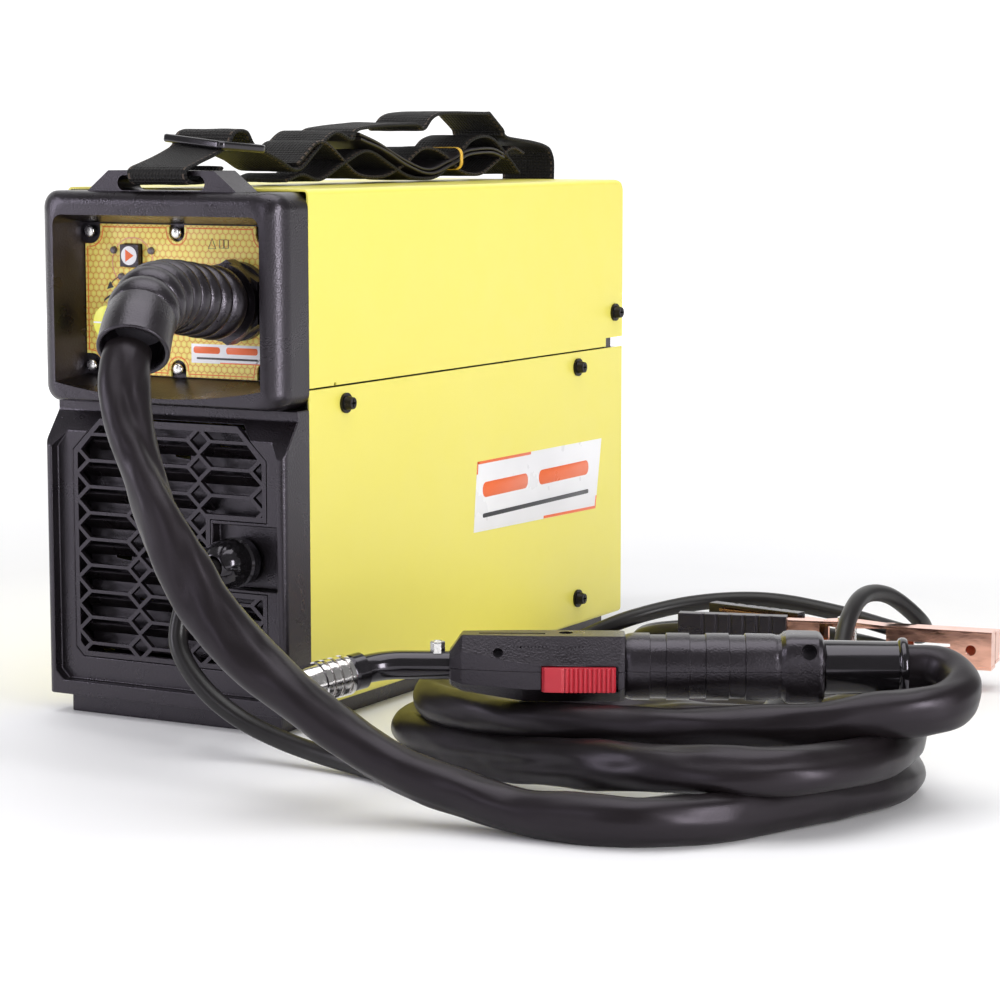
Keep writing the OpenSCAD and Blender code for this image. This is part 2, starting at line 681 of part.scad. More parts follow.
module drive_roll() {
    color("#b9bbbf") difference() {
        rod_x(wire_x - 6, wire_x + 6, roll_y, drive_z, drive_r);
        rod_x(wire_x - 7, wire_x + 7, roll_y, drive_z, 4.05);
        translate([wire_x, roll_y, drive_z]) rotate([0, 90, 0]) rotate_extrude()
            translate([drive_r, 0]) circle(r = 0.7, $fn = 16);
        for (a = [0:60:300]) rod_x(wire_x + 3, wire_x + 7, roll_y + 9 * cos(a),
            drive_z + 9 * sin(a), 1.6);
    }
}
module pressure_arm() {
    color("#8b8d91") {
        along_x(plate_x + 0.3, plate_x + 3.3) difference() {
            union() {
                translate([arm_y, arm_z + 6]) circle(r = 8);
                translate([-132, arm_z + 3]) square([132 + arm_y, 9]);
                translate([roll_y, pressure_z]) circle(r = 7);
                translate([roll_y - 7, pressure_z]) square([14, 10]);
            }
            translate([arm_y, arm_z + 6]) circle(r = 3);
        }
        rod_x(plate_x + 3.2, wire_x + 8, roll_y, pressure_z, 3);
        block([plate_x + 3.2, -134, arm_z + 3], [wire_x + 8, -118, arm_z + 7]);
    }
}
module pressure_roll() {
    color("#b9bbbf") difference() {
        rod_x(wire_x - 5.5, wire_x + 5.5, roll_y, pressure_z, pressure_r);
        rod_x(wire_x - 7, wire_x + 7, roll_y, pressure_z, 3.05);
        for (a = [0:72:288]) rod_x(wire_x + 3, wire_x + 7, roll_y + 7 * cos(a),
            pressure_z + 7 * sin(a), 1.2);
    }
}
tension_y = -126;
module tension_knob() {
    color("#d03a2c") translate([wire_x, tension_y, arm_z + 7.2]) difference() {
        cylinder(r = 6.4, h = 13);
        for (a = [0:45:315]) rotate([0, 0, a]) translate([7.2, 0, -1]) cylinder(r = 1.5, h = 16);
    }
}
module spool_hub() {
    color("#2b2b2e") {
        rod_x(divider_x + 1.6, spool_x - 1, spool_y, spool_z, 22);
        rod_x(spool_x - 1.1, spool_x + spool_w + 1, spool_y, spool_z, hub_r);
        translate([spool_x + spool_w + 1, spool_y, spool_z]) rotate([0, 90, 0])
            cylinder(r = 15, h = 9, $fn = 8);
    }
}
module wire_spool() {
    color("#1e1e21") difference() {
        union() {
            rod_x(spool_x, spool_x + 2.5, spool_y, spool_z, spool_r);
            rod_x(spool_x + spool_w - 2.5, spool_x + spool_w, spool_y, spool_z, spool_r);
            rod_x(spool_x + 1, spool_x + spool_w - 1, spool_y, spool_z, 25);
        }
        rod_x(spool_x - 1, spool_x + spool_w + 1, spool_y, spool_z, hub_r + 0.08);
        for (a = [0:60:300]) rod_x(spool_x - 1, spool_x + spool_w + 1, spool_y + 17 * cos(a),
            spool_z + 17 * sin(a), 5.5);
        for (a = [30:60:330], x = [spool_x - 1, spool_x + spool_w - 3])
            rod_x(x, x + 4, spool_y + 37 * cos(a), spool_z + 37 * sin(a), 6);
    }
}
module wire_winding() {
    color("#b9703c") difference() {
        rod_x(spool_x + 2.6, spool_x + spool_w - 2.6, spool_y, spool_z, winding_r);
        rod_x(spool_x, spool_x + spool_w, spool_y, spool_z, 25.05);
    }
}
// Wire that runs straight from the top of the winding to the inlet guide
module feed_wire() {
    stop = [wire_x, -37.8, wire_z];
    apart = [stop[1] - spool_y, stop[2] - spool_z];
    off_r = winding_r + wire_r + 0.1;
    turn = atan2(apart[1], apart[0]) - acos(off_r / norm(apart));
    start = [wire_x, spool_y + off_r * cos(turn), spool_z + off_r * sin(turn)];
    run = stop - start;
    color("#b9703c") translate(start) rotate([atan2(-run[1], run[2]), 0, 0])
        cylinder(r = wire_r, h = norm(run), $fn = 16);
}

// ---------- torch ----------

grip_x = 85;
end_x = 157;
split = 0.1;
module handle_outer() {
    // faceted front block
    intersection() {
        along_x(0, grip_x) polygon([[-17, -9], [-9, -16], [9, -16], [16, -9], [16, 9], [9, 16],
            [-9, 16], [-17, 9]]);
        linear_extrude(60, center = true) polygon([[0, -9], [36, -17], [grip_x, -17], [grip_x, 16],
            [6, 16], [0, 9]]);
    }
    rod_x(grip_x - 0.1, end_x, 0, 0, handle_r - 0.5);
    along_x(end_x - 0.1, handle_l) rounded(-15.5, -16.5, 15.5, 16.5, 5);
}
module handle_inner() {
    rod_x(14, handle_l - 8, 0, 0, 12.5);
    rod_x(-1, 15, 0, 0, neck_r + 0.1);
    rod_x(handle_l - 9, handle_l + 1, 0, 0, 11.1);
    block([43, -20, -9.8], [82, -6, 2.8]);
}
module torch_handle_top() {
    color("#232024") in_torch() intersection() {
        difference() {
            handle_outer();
            handle_inner();
        }
        block([-5, -30, split / 2], [handle_l + 5, 30, 30]);
    }
}
module torch_handle_bottom() {
    color("#232024") in_torch() intersection() {
        difference() {
            handle_outer();
            handle_inner();
        }
        block([-5, -30, -30], [handle_l + 5, 30, -split / 2]);
    }
}
trigger_pin = [77, -14.5];
module torch_trigger() {
    color("#b8232f") in_torch() {
        translate([0, 0, -9.5]) linear_extrude(12) {
            polygon([[44.5, -15.5], [45.5, -19.5], [56, -21], [78, -19.2], [79.8, -17], [79.5, -12],
                [58, -13.5], [44.5, -14]]);
            translate(trigger_pin) circle(r = 3.6);
        }
    }
}
neck_start = -22;
bend_r = 30;
module in_neck() {
    in_torch() rotate([10, 0, 0]) translate([neck_start - bend_r * sin(neck_bend),
        -bend_r * (1 - cos(neck_bend)), 0]) rotate([0, 0, 180 + neck_bend]) children();
}
module torch_neck() {
    color("#141315") {
        in_torch() rotate([10, 0, 0]) {
            rod_x(neck_start - 0.2, 60, 0, 0, neck_r);
            translate([neck_start, -bend_r, 0]) rotate([0, 0, 90])
                rotate_extrude(angle = neck_bend) translate([bend_r, 0])
                    circle(r = neck_r - 0.1);
        }
        in_neck() rod_x(-0.2, 4, 0, 0, neck_r);
        in_neck() translate([3.9, 0, 0]) rotate([0, 90, 0]) cylinder(r1 = 9, r2 = 8, h = 6);
    }
    color("#c9c9cc") in_torch() translate([-10, 0, 4]) cylinder(r = 3.6, h = 8, $fn = 6);
}
nozzle_l = 40;
module torch_nozzle() {
    color("#c9c6c4") in_neck() translate([10, 0, 0]) rotate([0, 90, 0]) difference() {
        union() {
            cylinder(r = nozzle_r - 0.8, h = nozzle_l - 12);
            translate([0, 0, nozzle_l - 12]) cylinder(r1 = nozzle_r - 0.8, r2 = nozzle_r - 2.2, h = 12);
            for (z = [0, 5, 10]) translate([0, 0, z]) cylinder(r = nozzle_r, h = 3);
        }
        translate([0, 0, 8]) cylinder(r = 6.8, h = nozzle_l);
        translate([0, 0, -1]) cylinder(r = 4.05, h = 10);
    }
}
module contact_tip() {
    color("#c07a4a") in_neck() translate([10, 0, 0]) rotate([0, 90, 0]) difference() {
        union() {
            cylinder(r = 4, h = nozzle_l - 14);
            translate([0, 0, nozzle_l - 14.1]) cylinder(r1 = 4, r2 = 2.6, h = 6);
        }
        translate([0, 0, 2]) cylinder(r = 0.6, h = nozzle_l, $fn = 16);
    }
}
tail_l = 40;
// Smooth boot at the rear of the torch, with a collar
module torch_tail() {
    color("#1b191c") in_torch() difference() {
        union() {
            rod_x(handle_l - 8.5, handle_l + 2, 0, 0, 11);
            rod_x(handle_l + 0.1, handle_l + tail_l, 0, 0, 13);
            rod_x(handle_l + tail_l - 3, handle_l + tail_l, 0, 0, 14.5);
        }
        rod_x(handle_l - 10, handle_l + tail_l - 12, 0, 0, 8);
        rod_x(handle_l + tail_l - 12.1, handle_l + tail_l + 1, 0, 0, torch_cable_d / 2 + 0.2);
    }
}

// ---------- earth clamp ----------

pin_r = 3;
lower_half = 11;
upper_half = 9.2;
wall = 1.6;
lower_turn = -8;
upper_turn = 18;
// One side wall of the lower jaw, in x and z
module jaw_side() {
    polygon([[-12, 2], [-6, 6.5], [7, 6.5], [30, -2.5], [jaw_l - 4, -0.4], [jaw_l, -0.4],
        [jaw_l, -12.5], [26, -11.5], [8, -6.5], [-12, -5]]);
}
// Pressed jaw: two side walls, a web with a slot and a hole, and a handle channel behind the pin
module clamp_half(half, turn) {
    difference() {
        union() {
            for (y = [-half, half - wall]) along_y(y, y + wall) jaw_side();
            along_y(0.1 - half, half - 0.1) polygon([[26.5, -11.4], [jaw_l - 0.1, -12.4],
                [jaw_l - 0.1, -10.9], [26.5, -9.9]]);
            along_y(0.1 - half, half - 0.1) translate([jaw_l - 4, -12.3]) square([3.8, 11.8]);
            rotate([0, turn, 0]) {
                block([-88, 0.1 - half, -6], [-15, half - 0.1, -4.4]);
                for (y = [-half, half - wall])
                    block([-88, y + 0.1, -6.1], [-1, y + wall - 0.1, 2.5]);
            }
        }
        rod_y(-20, 20, 0, 0, pin_r + 0.06);
        translate([jaw_l - 12, 0, -20]) cylinder(r = 3, h = 12);
        block([38, -3, -20], [64, 3, -8]);
    }
}
module clamp_grip(half, turn) {
    rotate([0, turn, 0]) difference() {
        block([-98, -half - 2.2, -9], [-34, half + 2.2, -1]);
        block([-88.2, -half - 0.05, -6.1], [-30, half + 0.05, 2]);
        for (x = [-84:8:-44]) block([x, -half - 3, -10], [x + 2, half + 3, -8]);
    }
}
module clamp_lower_jaw() {
    color("#d8875f") in_clamp() clamp_half(lower_half, lower_turn);
}
module clamp_upper_jaw() {
    color("#d8875f") in_clamp() mirror([0, 0, 1]) clamp_half(upper_half, -upper_turn);
}
module clamp_lower_grip() {
    color("#17171a") in_clamp() clamp_grip(lower_half, lower_turn);
}
module clamp_upper_grip() {
    color("#17171a") in_clamp() mirror([0, 0, 1]) clamp_grip(upper_half, -upper_turn);
}
module clamp_pin() {
    color("#c9c9cc") in_clamp() {
        rod_y(-11.4, 11.4, 0, 0, pin_r);
        rod_y(-13, -11.1, 0, 0, 5);
        rod_y(11.1, 13, 0, 0, 5);
    }
}
// Torsion spring round the pin: a coil and one leg
module clamp_spring() {
    color("#9a9ca0") in_clamp() difference() {
        rod_y(-6.8, 6.8, 0, 0, 6.2);
        rod_y(-8, 8, 0, 0, 3.6);
        for (y = [-5.4:2.2:5.8]) difference() {
            rod_y(y, y + 0.6, 0, 0, 7);
            rod_y(y - 1, y + 2, 0, 0, 5);
        }
    }
}

// ---------- strap ----------

strap_w = 38;
strap_t = 2;
// Side view of the webbing, in y and z: from the front lug, over the cover, to the rear lug
STRAP_LINE = [[-176, 299], [-186, 292.3], [-204, 291], [-210.5, 293.5], [-210, 298], [-200, 301],
    [-180, 304.5], [-160, 306.2], [-140, 306.2], [-122, 303], [-103, 297], [-84, 306], [-62, 317.5],
    [-44, 313.5], [-34, 319.5], [26, 322.5], [38, 319.5], [57, 328.5], [118, 329.5], [134, 320],
    [142, 314.5], [190, 309.5], [203, 303], [204, 290], [200, 275], [189, 269], [177.5, 260],
    [176.5, 246], [177.5, 233], [182, 229.5], [186, 233], [186.5, 250], [188, 255]];
// A slack second layer that is tied down under the first one
STRAP_TAIL = [[-36, 314], [-12, 308], [18, 298], [44, 293], [70, 298], [92, 304], [120, 305],
    [136, 302]];
function line_side(p, i, d) = let(a = p[max(i - 1, 0)], b = p[min(i + 1, len(p) - 1)],
    t = unit(b - a)) p[i] + d * [-t[1], t[0]];
module band(p, t) {
    polygon(concat([for (i = [0:len(p) - 1]) line_side(p, i, t / 2)],
        [for (i = [len(p) - 1:-1:0]) line_side(p, i, -t / 2)]));
}
module strap() {
    color("#161417") {
        along_x(-strap_w / 2, strap_w / 2) band(STRAP_LINE, strap_t);
        along_x(-strap_w / 2 + 1, strap_w / 2 + 1) band(STRAP_TAIL, 2 * strap_t);
    }
}
// Three-bar slide buckle of the strap
module strap_buckle() {
    color("#2c2930") translate([0, -157, 311.6]) rotate([0, 0, -15]) rotate([-4, 5, 0]) difference() {
        block([-25, -17, 0], [25, 17, 3.4]);
        block([-20.5, -13, -1], [20.5, -3.5, 5]);
        block([-20.5, 3.5, -1], [20.5, 13, 5]);
    }
}
// Rubber band round the slack layer
module strap_band() {
    color("#d9a63a") along_y(76, 78.6) difference() {
        rounded(-21.5, 295.5, 23.5, 308, 4);
        rounded(-20.4, 296.6, 22.4, 306.9, 3);
    }
}

// ---------- cables ----------

module torch_cable() {
    color("#1c1a1e") route_tube(TORCH_ROUTE, torch_cable_d, 10);
}
module earth_cable() {
    color("#1b191d") route_tube(EARTH_ROUTE, earth_cable_d, 8);
}

base_skid();
lower_cover();
upper_cover();
front_housing();
front_grille();
front_bezel();
strap_lugs();
control_panel();
panel_screws();
indicator_leds();
push_button();
current_knob();
control_board();
connector_nut();
bend_relief();
earth_gland();
mains_gland();
gas_inlet();
feeder_deck();
divider();
rear_panel();
rear_grille();
power_switch();
cover_screws();
power_tray();
power_board();
heat_sinks();
transformer();
capacitors();
fan_frame();
fan_rotor();
feed_motor();
feed_plate();
wire_guides();
drive_roll();
pressure_arm();
pressure_roll();
tension_knob();
spool_hub();
wire_spool();
wire_winding();
feed_wire();
torch_handle_top();
torch_handle_bottom();
torch_trigger();
torch_neck();
torch_nozzle();
contact_tip();
torch_tail();
clamp_lower_jaw();
clamp_lower_grip();
clamp_upper_jaw();
clamp_upper_grip();
clamp_pin();
clamp_spring();
strap();
strap_buckle();
strap_band();
torch_cable();
earth_cable();
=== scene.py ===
"""Looks of a portable MIG welding machine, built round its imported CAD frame.

Blender works in metres, +Z up, with the machine's front towards -Y. Shapes are written in millimetres
and turned into metres by the mesh helpers.
"""

import json
import math

import bmesh
import bpy
import numpy as np
from mathutils import Matrix, Vector, noise


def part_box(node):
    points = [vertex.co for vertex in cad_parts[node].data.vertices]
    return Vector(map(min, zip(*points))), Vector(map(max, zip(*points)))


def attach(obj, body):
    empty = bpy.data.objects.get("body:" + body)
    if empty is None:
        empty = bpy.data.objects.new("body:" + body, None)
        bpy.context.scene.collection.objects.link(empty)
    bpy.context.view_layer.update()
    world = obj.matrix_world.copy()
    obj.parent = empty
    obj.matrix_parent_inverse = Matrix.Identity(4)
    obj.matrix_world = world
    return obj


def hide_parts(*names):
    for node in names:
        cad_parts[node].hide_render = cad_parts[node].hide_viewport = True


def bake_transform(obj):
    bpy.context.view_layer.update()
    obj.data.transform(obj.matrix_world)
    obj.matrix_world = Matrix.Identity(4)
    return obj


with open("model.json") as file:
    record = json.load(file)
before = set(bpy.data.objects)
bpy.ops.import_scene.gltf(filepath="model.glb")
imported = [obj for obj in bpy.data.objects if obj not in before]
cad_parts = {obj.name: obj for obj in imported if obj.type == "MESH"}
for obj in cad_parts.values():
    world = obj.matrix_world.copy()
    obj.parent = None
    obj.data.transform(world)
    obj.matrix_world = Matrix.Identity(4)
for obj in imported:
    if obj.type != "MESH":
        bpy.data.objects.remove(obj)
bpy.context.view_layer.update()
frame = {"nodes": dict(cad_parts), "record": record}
NODES = frame["nodes"]
MM = 0.001


def box_mm(node):
    """Lowest and highest corner of a CAD node, in millimetres."""
    low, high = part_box(node)
    return np.array(low) / MM, np.array(high) / MM


def front_and_middle(node):
    """Foremost y of a CAD node, and its middle in x and z, in millimetres."""
    low, high = box_mm(node)
    return low[1], ((low + high) / 2)[[0, 2]]


# ---------- driving places ----------

CASE_HIGH = box_mm("lower_cover")[1]
BEZEL_LOW, BEZEL_HIGH = box_mm("front_bezel")
PANEL_Y = box_mm("control_panel")[0][1]
BUTTON_Y, (BUTTON_X, BUTTON_Z) = front_and_middle("push_button")
KNOB_Y, (KNOB_X, KNOB_Z) = front_and_middle("current_knob")
NUT_X, NUT_Z = front_and_middle("connector_nut")[1]
TORCH = Matrix.Translation(Vector((212.5, -271.3, 62))) @ Matrix.Rotation(math.radians(27), 4, "Z")
HANDLE_L = 180
TAIL_L = 40
NECK_R = 7
NECK_START = -22
NECK_BEND = math.radians(40)
NECK_BEND_R = 30
NECK_ROLL = math.radians(10)
STRAP_HALF = 19
STRAP_THICK = 2.0
WELD = 2e-6

# Routes of the two cables in millimetres, the same points as in the CAD source
TORCH_ROUTE = [
    (68.2, -331.4, 212.6), (70.8, -337.6, 205.5), (75, -344, 192.5), (82, -349, 174), (93, -354, 154),
    (105, -358, 135), (117, -360, 118), (128, -360, 101), (142, -359, 86), (158, -357, 71),
    (176, -353, 57), (197, -347, 42), (220, -342, 29), (248, -338, 19), (280, -336, 12),
    (314, -335, 11), (344, -327, 11), (368, -303, 11), (386, -270, 11), (401, -236, 11),
    (410, -200, 11), (404, -164, 11), (380, -136, 11), (342, -120, 11), (295, -111, 11),
    (245, -109, 11), (198, -118, 11), (162, -140, 11), (144, -172, 12), (153, -205, 12),
    (184, -229, 13), (228, -252, 15), (267, -272, 20), (310, -288, 26), (350, -294, 30),
    (386, -285, 31), (408, -260, 31), (416, -224, 30), (411, -184, 30), (393, -148, 31),
    (361, -113, 25), (322, -90, 11), (274, -81, 11), (230, -83, 14), (196, -91, 21),
    (173, -112, 28), (160, -142, 32), (156, -176, 33), (166, -208, 33), (191, -232, 33.5),
    (230, -249, 34.5), (282, -259, 37), (336, -256, 40), (384, -242, 44), (411, -227, 48),
    (430, -213, 49.5), (440, -200, 52), (441, -187, 55), (435, -175, 59), (423, -169, 61.5),
    (409, -171.2, 62), (400, -175.6, 62),
]
EARTH_ROUTE = [
    (43.5, -220, 91.5), (43.5, -234, 89.5), (43, -246, 82), (42.5, -254, 70), (44, -259, 57),
    (52, -262, 45), (66, -263, 32), (84, -262, 21), (106, -262, 13.5), (130, -263, 8.5),
    (158, -267, 5.5), (190, -278, 5), (226, -292, 5), (262, -300, 5), (296, -296, 5),
    (322, -276, 5), (334, -244, 5), (332, -208, 6), (327, -172, 14), (322, -138, 25),
    (318, -105, 28), (315, -75, 27), (310, -40, 12), (301, -8, 8), (294, 24, 22), (287, 56, 42),
    (284, 88, 51), (288, 120, 46), (297, 148, 27), (288, 170, 15), (264, 182, 16), (226, 186, 22),
    (182, 180, 27), (144, 162, 25), (114, 134, 18), (98, 100, 10), (98, 66, 6), (120, 40, 5),
    (158, 25, 5), (204, 22, 5), (250, 32, 5), (292, 50, 5), (326, 76, 5), (338, 110, 5),
    (318, 142, 5), (284, 160, 5), (252, 180, 5), (212, 198, 5), (168, 198, 5), (130, 182, 5),
    (113, 158, 5), (118, 130, 5), (130, 104, 8), (144, 84, 16), (166, 75, 22), (192, 77, 24),
    (222, 82, 24.2), (250, 86, 24),
]
RELIEF_ROUTE = [
    (40, -209.2, 229), (40, -212, 229), (41, -223, 230), (42, -238, 232), (45, -256, 234.5),
    (49.5, -275, 236), (55.5, -293, 235), (61.2, -308, 231), (66.5, -321, 223), (70.6, -331, 213),
]
# Side view of the shoulder strap in y and z, from the front lug over the cover to the rear lug
STRAP_LINE = [
    (-176, 299), (-186, 292.3), (-204, 291), (-210.5, 293.5), (-210, 298), (-200, 301),
    (-186, 304.6), (-176, 307.5), (-169, 310.4), (-163, 317.4), (-152, 318), (-146, 311.6),
    (-139, 308.4), (-122, 303), (-103, 297), (-84, 306), (-62, 317.5),
    (-44, 313.5), (-34, 319.5), (26, 322.5), (38, 319.5), (57, 328.5), (118, 329.5), (134, 320),
    (142, 314.5), (190, 309.5), (203, 303), (204, 290), (200, 275), (189, 269), (177.5, 260),
    (176.5, 246), (177.5, 233), (182, 229.5), (186, 233), (186.5, 250), (188, 255),
]
STRAP_UNDER = [
    (-112, 291), (-96, 294), (-76, 291), (-52, 301), (-28, 307), (-4, 300), (22, 291.5), (50, 291),
    (78, 301), (98, 313), (122, 314), (146, 302), (160, 292),
]
STRAP_FOLD = [
    (-100, 300), (-80, 312), (-60, 306), (-36, 294), (-8, 292), (16, 299), (40, 308), (64, 304),
    (84, 294), (108, 292), (130, 300), (150, 308), (165, 305),
]
STRAP_TAIL = [
    (-36, 314), (-12, 308), (18, 298), (44, 293), (70, 298), (92, 304), (120, 305), (136, 302),
]


# ---------- camera, floor and light ----------

def new_object(name, data):
    thing = bpy.data.objects.new(name, data)
    bpy.context.scene.collection.objects.link(thing)
    return thing


def aim(thing, at, target):
    thing.location = at
    thing.rotation_euler = (Vector(target) - Vector(at)).to_track_quat("-Z", "Y").to_euler()


def make_camera():
    azimuth, pitch = math.radians(28.81), math.radians(7.26)
    at = Vector((0.89623, -1.46442, 0.31762))
    ahead = Vector((-math.sin(azimuth) * math.cos(pitch), math.cos(azimuth) * math.cos(pitch),
                    -math.sin(pitch)))
    data = bpy.data.cameras.new("camera")
    data.sensor_width = 36
    data.lens = 103.9
    camera = new_object("camera", data)
    aim(camera, at, at + ahead)
    bpy.context.scene.camera = camera


def soft_light(name, at, target, width, height, watts, colour=(1, 1, 1)):
    data = bpy.data.lights.new(name, "AREA")
    data.shape = "RECTANGLE"
    data.size, data.size_y = width, height
    data.energy = watts
    data.color = colour
    aim(new_object(name, data), at, target)


def make_stage():
    scene = bpy.context.scene
    scene.view_settings.view_transform = "Standard"
    world = bpy.data.worlds.new("studio")
    world.use_nodes = True
    sky = world.node_tree.nodes["Background"]
    sky.inputs["Color"].default_value = (1, 1, 1, 1)
    sky.inputs["Strength"].default_value = 0.27
    scene.world = world
    soft_light("top_softbox", (0.2, -0.2, 1.7), (0.1, -0.05, 0.1), 1.6, 1.6, 21)
    soft_light("right_softbox", (1.9, -0.85, 0.55), (0.05, 0, 0.1), 0.4, 1.0, 22, (1, 0.985, 1))
    soft_light("front_strip", (-0.1, -2.1, 0.75), (0, -0.2, 0.15), 0.35, 0.9, 3.5, (0.93, 0.9, 1))
    soft_light("left_strip", (-1.4, -1.3, 0.7), (0, -0.1, 0.15), 0.3, 1.0, 11, (0.93, 0.9, 1))
    wall = sheet_object("backdrop", [(-7.5, 0.5, -0.01), (1.5, 5.5, -0.01), (1.5, 5.5, 5),
                                     (-7.5, 0.5, 5)])
    glow = Look("backdrop_light", (0, 0, 0), 1.0, Emission_Color=(1, 1, 1, 1), Emission_Strength=1.15)
    wall.data.materials.append(glow.material)
    far = 60
    floor = sheet_object("floor", [(-far, -far, 0), (far, -far, 0), (far, far, 0), (-far, far, 0)])
    look = Look("floor_paper", (0.93, 0.93, 0.94), 0.6)
    look.bump(look.noise(600), 0.00003)
    # The floor glows more with distance, from 0.45 m out to full at 2.2 m: painted light that whitens the
    # far floor and throws bounce light onto the case.
    away = look.vector("LENGTH", look.place(), output="Value")
    look.shader.inputs["Emission Color"].default_value = (1, 1, 1, 1)
    look.feed(look.shader.inputs["Emission Strength"], look.band(away, 0.45, 2.2, 0, 0.85))
    floor.data.materials.append(look.material)


def sheet_object(name, corners):
    """A flat stage sheet, corners in metres."""
    mesh = bpy.data.meshes.new(name)
    mesh.from_pydata(corners, [], [list(range(len(corners)))])
    return new_object(name, mesh)


# ---------- materials ----------

class Look:
    """A Principled material with the few nodes that give it its grain."""

    def __init__(self, name, colour, roughness, metallic=0.0, **inputs):
        self.name = name
        self.material = bpy.data.materials.new(name + "_look")
        self.material.use_nodes = True
        self.tree = self.material.node_tree
        self.shader = self.tree.nodes["Principled BSDF"]
        self.colour = (*colour, 1)
        self.shader.inputs["Base Color"].default_value = self.colour
        self.shader.inputs["Roughness"].default_value = roughness
        self.shader.inputs["Metallic"].default_value = metallic
        for socket, value in inputs.items():
            self.shader.inputs[socket.replace("_", " ")].default_value = value

    def node(self, kind, **inputs):
        made = self.tree.nodes.new(kind)
        for socket, value in inputs.items():
            self.feed(made.inputs[socket], value)
        return made

    def feed(self, socket, value):
        if isinstance(value, bpy.types.NodeSocket):
            self.tree.links.new(value, socket)
        else:
            socket.default_value = value

    def place(self, stretch=(1, 1, 1)):
        """Object coordinates, stretched."""
        spot = self.node("ShaderNodeTexCoord").outputs["Object"]
        return self.node("ShaderNodeMapping", Vector=spot, Scale=stretch).outputs[0]

    def lay(self, stretch=(1, 1, 1)):
        """Coordinates kept in the mesh: across, along and layer, in metres."""
        held = self.node("ShaderNodeAttribute")
        held.attribute_name = "lay"
        return self.node("ShaderNodeMapping", Vector=held.outputs["Vector"], Scale=stretch).outputs[0]

    def noise(self, scale, detail=3.0, stretch=(1, 1, 1), spot=None):
        spot = spot or self.place(stretch)
        return self.node("ShaderNodeTexNoise", Vector=spot, Scale=scale, Detail=detail).outputs[0]

    def cells(self, scale, output="Distance", feature="F1"):
        made = self.node("ShaderNodeTexVoronoi", Vector=self.place(), Scale=scale)
        made.feature = feature
        return made.outputs[output]

    def math(self, kind, first, second=0.0, third=0.0):
        made = self.tree.nodes.new("ShaderNodeMath")
        made.operation = kind
        for socket, value in zip(made.inputs, (first, second, third)):
            self.feed(socket, value)
        return made.outputs[0]

    def vector(self, kind, first, second=(0, 0, 0), output="Vector"):
        made = self.tree.nodes.new("ShaderNodeVectorMath")
        made.operation = kind
        self.feed(made.inputs[0], first)
        self.feed(made.inputs[1], second)
        return made.outputs[output]

    def band(self, value, low, high, at_low=0.0, at_high=1.0):
        """Maps low..high to at_low..at_high, held at both ends."""
        made = self.node("ShaderNodeMapRange", Value=value)
        for socket, number in zip(("From Min", "From Max", "To Min", "To Max"),
                                  (low, high, at_low, at_high)):
            made.inputs[socket].default_value = number
        return made.outputs[0]

    def mix(self, share, first, second):
        made = self.tree.nodes.new("ShaderNodeMix")
        made.data_type = "RGBA"
        self.feed(made.inputs[0], share)
        self.feed(made.inputs[6], first)
        self.feed(made.inputs[7], second)
        return made.outputs[2]

    def tint(self, share, other):
        """Blends the colour towards another where share is high."""
        self.feed(self.shader.inputs["Base Color"], self.mix(share, self.colour, (*other, 1)))

    def rough(self, share, low, high):
        self.feed(self.shader.inputs["Roughness"], self.band(share, 0.3, 0.7, low, high))

    def bump(self, height, depth, strength=1.0):
        before = self.shader.inputs["Normal"].links
        made = self.node("ShaderNodeBump", Height=height, Distance=depth, Strength=strength)
        if before:
            self.feed(made.inputs["Normal"], before[0].from_socket)
        self.feed(self.shader.inputs["Normal"], made.outputs[0])


def shade_of(colour, factor):
    return tuple(c * factor for c in colour)


def moulded(name, colour, roughness, grain=1100, depth=0.00006, **inputs):
    """Injection moulded plastic: fine spark grain and faint rubbing marks."""
    look = Look(name, colour, roughness, **inputs)
    look.bump(look.noise(grain, 2), depth)
    look.rough(look.noise(45, 4), roughness - 0.05, roughness + 0.07)
    look.tint(look.band(look.noise(9, 3), 0.4, 0.7, 0, 0.35), shade_of(colour, 1.5))
    return look


def painted():
    """Powder coat: orange peel, a slightly uneven film and fine dust."""
    yellow = (0.84, 0.757, 0.125)
    look = Look("yellow_paint", yellow, 0.36, Coat_Weight=0.15, Coat_Roughness=0.25)
    look.bump(look.noise(420, 2), 0.00004)
    look.bump(look.noise(7, 2), 0.0006)
    look.rough(look.noise(60, 5), 0.3, 0.42)
    look.tint(look.band(look.noise(5, 3), 0.35, 0.75, 0, 0.3), (0.89, 0.81, 0.2))
    return look


def metal(name, colour, roughness, brushed=(1, 1, 1), grain=700, depth=0.00001):
    look = Look(name, colour, roughness, 1.0)
    streaks = look.noise(grain, 4, brushed)
    look.bump(streaks, depth)
    look.rough(streaks, max(roughness - 0.08, 0.03), roughness + 0.12)
    look.tint(look.band(look.noise(30, 4), 0.4, 0.7, 0, 0.5), shade_of(colour, 0.78))
    return look


def galvanised():
    look = metal("grey_sheet", (0.55, 0.57, 0.6), 0.38)
    look.tint(look.band(look.cells(140, "Color"), 0, 1, 0, 0.7), (0.38, 0.4, 0.43))
    return look


